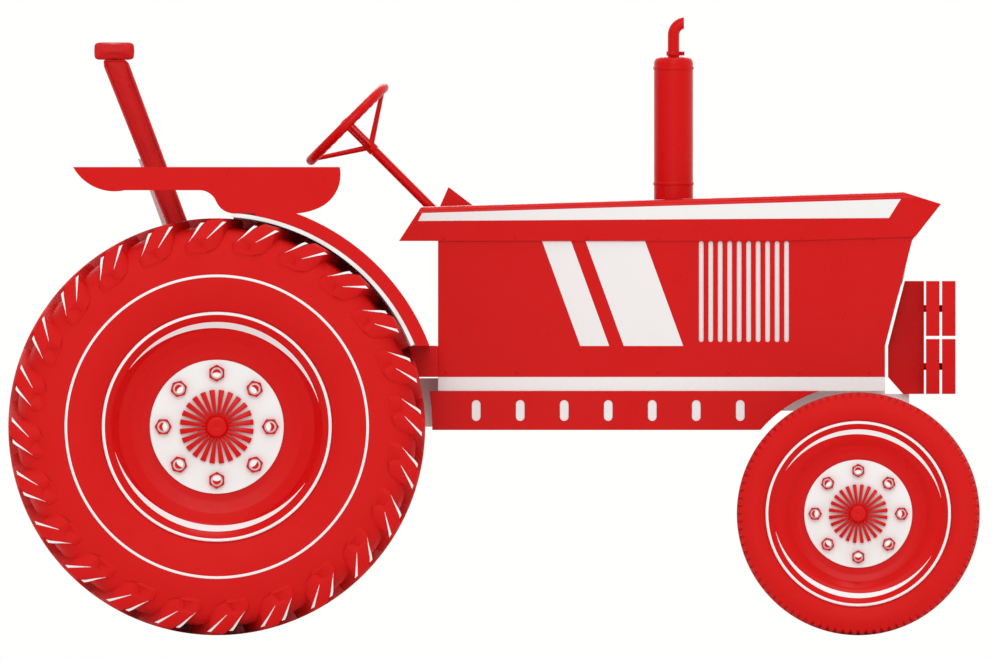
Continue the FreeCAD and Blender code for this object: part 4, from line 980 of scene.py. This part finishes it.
def boltMesh(size, axis):
    # a six-sided head on its washer; size is its width across flats
    rings = []
    corner = size / sqrt(3)
    shoulder = bolt["head"] - bolt["chamfer"]
    for radius, height in ((corner, 0.0), (corner, shoulder), (corner * bolt["crown"], bolt["head"])):
        rings.append([(radius * cos(k * pi / 3), radius * sin(k * pi / 3), height * size) for k in range(6)])
    head = makeMesh("head", *loft(rings), 20)
    top = bolt["washerThickness"] * size
    washer = bar("washer", bolt["washer"] * size, (0, 0, -bolt["sink"]), (0, 0, top), 16, 30)
    mesh = joinMeshes("bolt", [head, washer], 20)
    mesh.transform(Vector((0, 0, 1)).rotation_difference(Vector(axis)).to_matrix().to_4x4())
    return mesh


def buttonMesh(size, axis):
    # a low domed screw head with a shallow dimple
    section = [(-bolt["sink"], 0), (-bolt["sink"], size)]
    section += [(size * height, size * r) for height, r in button]
    mesh = turned("button", section, 16, angle=40)
    mesh.transform(Vector((0, 1, 0)).rotation_difference(Vector(axis)).to_matrix().to_4x4())
    return mesh


def addRow(piece, copy, material, start, end, count, axis):
    return grow(piece, copiesInRow, copy, material, start=start, end=end, count=count, axis=axis,
                turn=2 * pi, seed=next(rowSeeds))


def addSideRows(piece, makeCopy, size, material, rows):
    # the same rows on both sides of the tractor
    for side in sides.values():
        out = (0, side, 0)
        for (x0, y0, z0), (x1, y1, z1), count in rows:
            start, end = (x0, side * y0, z0), (x1, side * y1, z1)
            addRow(piece, makeCopy(size, out), material, start, end, count, out)


def buildFasteners():
    # low screws on the hood and panels, in the paint of the sheet
    heads = emptyPiece("panelScrews")
    addSideRows(heads, buttonMesh, screws["size"], redEnamel, screws["rows"])
    finished(heads, "chassis", "red_enamel")
    # bolts round the rear face of the casing, on its flanks, and round each axle housing's root
    heads = emptyPiece("casingBolts")
    back = (-1, 0, 0)
    for start, end, count in casing["rear"]:
        addRow(heads, boltMesh(casing["rearSize"], back), whiteEnamel, start, end, count, back)
    addSideRows(heads, boltMesh, casing["flankSize"], whiteEnamel, casing["flank"])
    finished(heads, "chassis", "white_enamel")
    ring = rectangle(axleFlange["near"], axleFlange["far"], axleFlange["bore"], axleFlange["radius"])
    for sideName, side in sides.items():
        piece = makeObject("axleFlange_" + sideName, turned("flange", ring, 96, 0.003), whiteCasting)
        copy = boltMesh(axleFlange["boltSize"], (0, 1, 0))
        copy.transform(Matrix.Translation((axleFlange["circle"], axleFlange["far"], 0)))
        count = axleFlange["bolts"]
        grow(piece, copiesRoundAxle, copy, whiteCasting, count=count, phase=pi / count)
        mirrorTo(piece.data, side, (wheels["rear"]["x"], 0, wheels["rear"]["z"]))
        finished(piece, "chassis", "white_enamel")


buildFasteners()
print("fasteners: screws and bolts")


# platform: raised tread, pedal pads and lever boots

# lozenge: share of its size, and height, from foot to top; boots: x, y, and the lever's run and rise
deck = dict(
    top=1.157, low=(-0.885, -0.530), high=(-0.245, 0.530), pitch=0.0335, long=0.0125, wide=0.0038,
    shoulder=0.55, blunt=0.4, lozenge=((1.0, -0.0005), (0.85, 0.0008), (0.5, 0.0016)),
    padStart=(-0.434, 0, 1.311), padEnd=(-0.380, 0, 1.361), padHalf=0.0355, padThickness=0.006, padSink=0.001,
    ribs=6, rib=0.0026, ribInset=0.004, ribEnd=0.009, pedals=(-0.270, -0.190, 0.230),
    boots=((-0.484, 0.060, -0.050, 0.330), (-0.840, -0.330, 0.070, 0.420)),
    boot=[(0.0, 0), (0.0, 0.036), (0.007, 0.036), (0.010, 0.029), (0.016, 0.033), (0.022, 0.026),
          (0.028, 0.029), (0.034, 0.022), (0.040, 0.024), (0.048, 0.0125), (0.048, 0)])


def lozengeMesh():
    # a raised bar with sloped ends, as rolled into tread plate
    rings = []
    for share, height in deck["lozenge"]:
        long, wide = deck["long"] * (deck["blunt"] + (1 - deck["blunt"]) * share), deck["wide"] * share
        near = long * deck["shoulder"]
        corners = [(long, 0), (near, wide), (-near, wide), (-long, 0), (-near, -wide), (near, -wide)]
        rings.append([(x, y, height) for x, y in corners])
    return makeMesh("lozenge", *loft(rings), 50)


def buildTread():
    (x0, y0), (x1, y1), pitch = deck["low"], deck["high"], deck["pitch"]
    width, depth = x1 - x0, y1 - y0
    tread = emptyPiece("platformTread")
    grow(tread, copiesOnGrid, lozengeMesh(), redEnamel, width=width, depth=depth,
         columns=round(width / pitch) + 1, rows=round(depth / pitch) + 1,
         middle=((x0 + x1) / 2, 0, deck["top"]), turn=pi / 2)
    finished(tread, "chassis", "red_enamel")


def buildPedalCovers():
    # a rubber cover on each pedal, with ribs across it
    foot, head = Vector(deck["padStart"]), Vector(deck["padEnd"])
    along = (head - foot).normalized()
    out = Vector((-along.z, 0, along.x))
    sink, rise = out * deck["padSink"], out * deck["padThickness"]
    half = deck["padHalf"]
    slab = rounded([(foot - sink).xz, (head - sink).xz, (head + rise).xz, (foot + rise).xz], 0.002, 2)
    meshes = [plate("cover", slab, y - half, y + half, 40) for y in deck["pedals"]]
    covers = makeObject("pedalCovers", joinMeshes("covers", meshes, 40), redVinyl)
    reach = Vector((0, half - deck["ribInset"], 0))
    inset = along * deck["ribEnd"]
    for y in deck["pedals"]:
        rib = bar("rib", deck["rib"], -reach, reach, 8, 60)
        place = rise + Vector((0, y, 0))
        addRow(covers, rib, redVinyl, foot + inset + place, head - inset + place, deck["ribs"], (0, 0, 0))
    finished(covers, "chassis", "red_vinyl")


def buildBoots():
    boots = []
    for x, y, run, rise in deck["boots"]:
        mesh = turned("boot", deck["boot"], 40, angle=70)
        boots.append(turnedTo(mesh, (x, y, deck["top"]), (0, 1, 0), (run, 0, rise)))
    finishJoined("leverBoots", boots, redVinyl, "red_vinyl", angle=70)


buildTread()
buildPedalCovers()
buildBoots()
print("platform: tread, pedal covers and lever boots")


# nose cheeks, muffler bands and clamp, fender beading, hitch balls

cheek = dict(outline=[(1.630, 1.575), (1.6715, 1.577), (1.6835, 1.596), (1.630, 1.600)],
             near=0.290, far=0.295)
muffler = dict(
    x=0.718, bands=(1.800, 2.262), bandIn=0.0765, bandOut=0.0810, bandHeight=0.013, clamp=2.318,
    clampIn=0.0235, clampOut=0.0285, clampHeight=0.018, ear=(0.742, 0.762), earHalf=0.007, earInset=0.001,
    screwX=0.754, screwSize=0.010)
bead = dict(start=22.6, end=86.0, steps=96, low=0.8405, high=0.8580, near=1.000, far=1.009)
hitchBall = dict(
    place=(-1.840, 0.410, 0.560),
    section=[(0.0200, 0.01435), (0.0200, 0.0225), (0.012, 0.0275), (0.0, 0.0300), (-0.012, 0.0275),
             (-0.0200, 0.0225), (-0.0200, 0.01435)])


def buildNoseCheeks():
    # the sheet between the hood's lower edge and each panel's front corner
    meshes = [plate("cheek", cheek["outline"], side * cheek["near"], side * cheek["far"], 30)
              for side in sides.values()]
    finishJoined("noseCheeks", meshes, redEnamel, "red_enamel")


def buildMufflerTrim():
    # rolled bands where the can's ends are folded over, and the pipe's clamp with its bolt
    meshes = []
    for z in muffler["bands"]:
        band = rectangle(z, z + muffler["bandHeight"], muffler["bandIn"], muffler["bandOut"])
        meshes.append(turned("band", band, 96, 0.003, 4))
    z, top = muffler["clamp"], muffler["clamp"] + muffler["clampHeight"]
    meshes.append(turned("clamp", rectangle(z, top, muffler["clampIn"], muffler["clampOut"]), 64, 0.002))
    for mesh in meshes:
        turnedTo(mesh, (muffler["x"], 0, 0), (1, 0, 0), (0, 0, 1))
    half, inset = muffler["earHalf"], muffler["earInset"]
    ear = plate("ear", rectangle(*muffler["ear"], z + inset, top - inset), -half, half)
    meshes.append(softened("ear", ear, 0.0015))
    screw = boltMesh(muffler["screwSize"], (0, -1, 0))
    screw.transform(Matrix.Translation((muffler["screwX"], -half, (z + top) / 2)))
    meshes.append(screw)
    finishJoined("mufflerTrim", meshes, redEnamel, "red_enamel")


def buildBeading():
    # white edging under each mudguard band
    corners = rounded(rectangle(bead["near"], bead["far"], bead["low"], bead["high"]), 0.002, 2)
    step = (bead["end"] - bead["start"]) / bead["steps"]
    turns = [radians(bead["start"] + step * i) for i in range(bead["steps"] + 1)]
    meshes = []
    for side in sides.values():
        mesh = makeMesh("bead", *loft([[onWheel(a, r, side * y) for y, r in corners] for a in turns]))
        mesh.transform(Matrix.Translation((wheels["rear"]["x"], 0, wheels["rear"]["z"])))
        meshes.append(mesh)
    finishJoined("fenderBeading", meshes, whiteEnamel, "white_enamel")


def buildHitchBalls():
    # the drilled ball held in each lower link's eye
    x, y, z = hitchBall["place"]
    for sideName, side in sides.items():
        mesh = turned("ball", hitchBall["section"], 48, angle=50)
        mesh.transform(Matrix.Translation((x, side * y, z)))
        ball = makeObject("hitchBall_" + sideName, mesh, bareSteel)
        finished(ball, "lower_link_" + sideName, "white_enamel")


buildNoseCheeks()
buildMufflerTrim()
buildBeading()
buildHitchBalls()
print("trim: nose, muffler, beading and hitch balls")


# carried-over nodes

nodeFinishes = [
    (redEnamel, "hood side_panels side_rails fenders visor steering_column exhaust_pipe muffler platform "
                "front_grille controls"),
    (whiteEnamel, "side_stripes grille_screens fender_walls seat_frame cowl"),
    (whiteCasting, "engine_block transmission_housing rear_axle_housings front_bolster link_brackets "
                   "lift_arms drawbar power_takeoff top_link_bracket front_axle centre_arm "
                   "knuckle_left knuckle_right "
                   "tie_rod_left tie_rod_right lower_link_left lower_link_right lift_rod_left lift_rod_right"),
    (redCasting, "front_weights weight_bracket"),
]
for finish, names in nodeFinishes:
    for name in names.split():
        nodes[name].data.materials.clear()
        nodes[name].data.materials.append(finish)

print("nodes: finishes")


# studio

studio = dict(viewWidth=3.972, viewX=0.010, viewZ=1.221, distance=12.0, sky=0.74, floorReach=30.0, clip=100)
suns = [  # strength, spread, turn
    (0.72, 30, (radians(66), 0, 0)), (0.72, 30, (radians(66), 0, pi)), (0.60, 20, (radians(12), 0, radians(24)))]


def buildStudio():
    # white all round for the camera, a plainer light for the model
    world = bpy.data.worlds.new("studio")
    scene.world = world
    world.use_nodes = True
    tree = world.node_tree
    tree.nodes.clear()
    path = addNode(tree, "ShaderNodeLightPath").outputs
    seen = doMath(tree, "MAXIMUM", path["Is Camera Ray"], path["Is Glossy Ray"])
    seen = doMath(tree, "MAXIMUM", seen, path["Is Transmission Ray"])
    shown = addNode(tree, "ShaderNodeBackground", {"Color": (1, 1, 0.985, 1), "Strength": 1.0}).outputs[0]
    light = addNode(tree, "ShaderNodeBackground", {"Color": (1, 1, 1, 1), "Strength": studio["sky"]}).outputs[0]
    mixed = addNode(tree, "ShaderNodeMixShader", {0: seen, 1: light, 2: shown}).outputs[0]
    addNode(tree, "ShaderNodeOutputWorld", {"Surface": mixed})
    for i, (strength, wide, turn) in enumerate(suns):
        sun = bpy.data.lights.new("sun%d" % i, "SUN")
        sun.energy = strength
        sun.angle = radians(wide)
        holder = bpy.data.objects.new("sun%d" % i, sun)
        holder.rotation_euler = turn
        scene.collection.objects.link(holder)


def buildFloor():
    material, tree, place = startMaterial("paleFloor")
    colour = blendColours(tree, pattern(tree, place, "paving"), finishes["floor"], finishes["floorPale"])
    finishMaterial(tree, {"Base Color": colour, "Roughness": 0.9, "Specular IOR Level": 0.1})
    reach = studio["floorReach"]
    corners = [(-reach, -reach, 0), (reach, -reach, 0), (reach, reach, 0), (-reach, reach, 0)]
    makeObject("floor", makeMesh("floor", corners, [(0, 1, 2, 3)]), material)


def buildCamera():
    lens = bpy.data.cameras.new("sideView")
    lens.type = "ORTHO"
    lens.ortho_scale = studio["viewWidth"]
    lens.clip_end = studio["clip"]
    camera = bpy.data.objects.new("sideView", lens)
    camera.location = (studio["viewX"], -studio["distance"], studio["viewZ"])
    camera.rotation_euler = (pi / 2, 0, 0)
    scene.collection.objects.link(camera)
    scene.camera = camera


buildStudio()
buildFloor()
buildCamera()
scene.view_settings.view_transform = "Standard"

print("studio: world, suns, floor and camera")
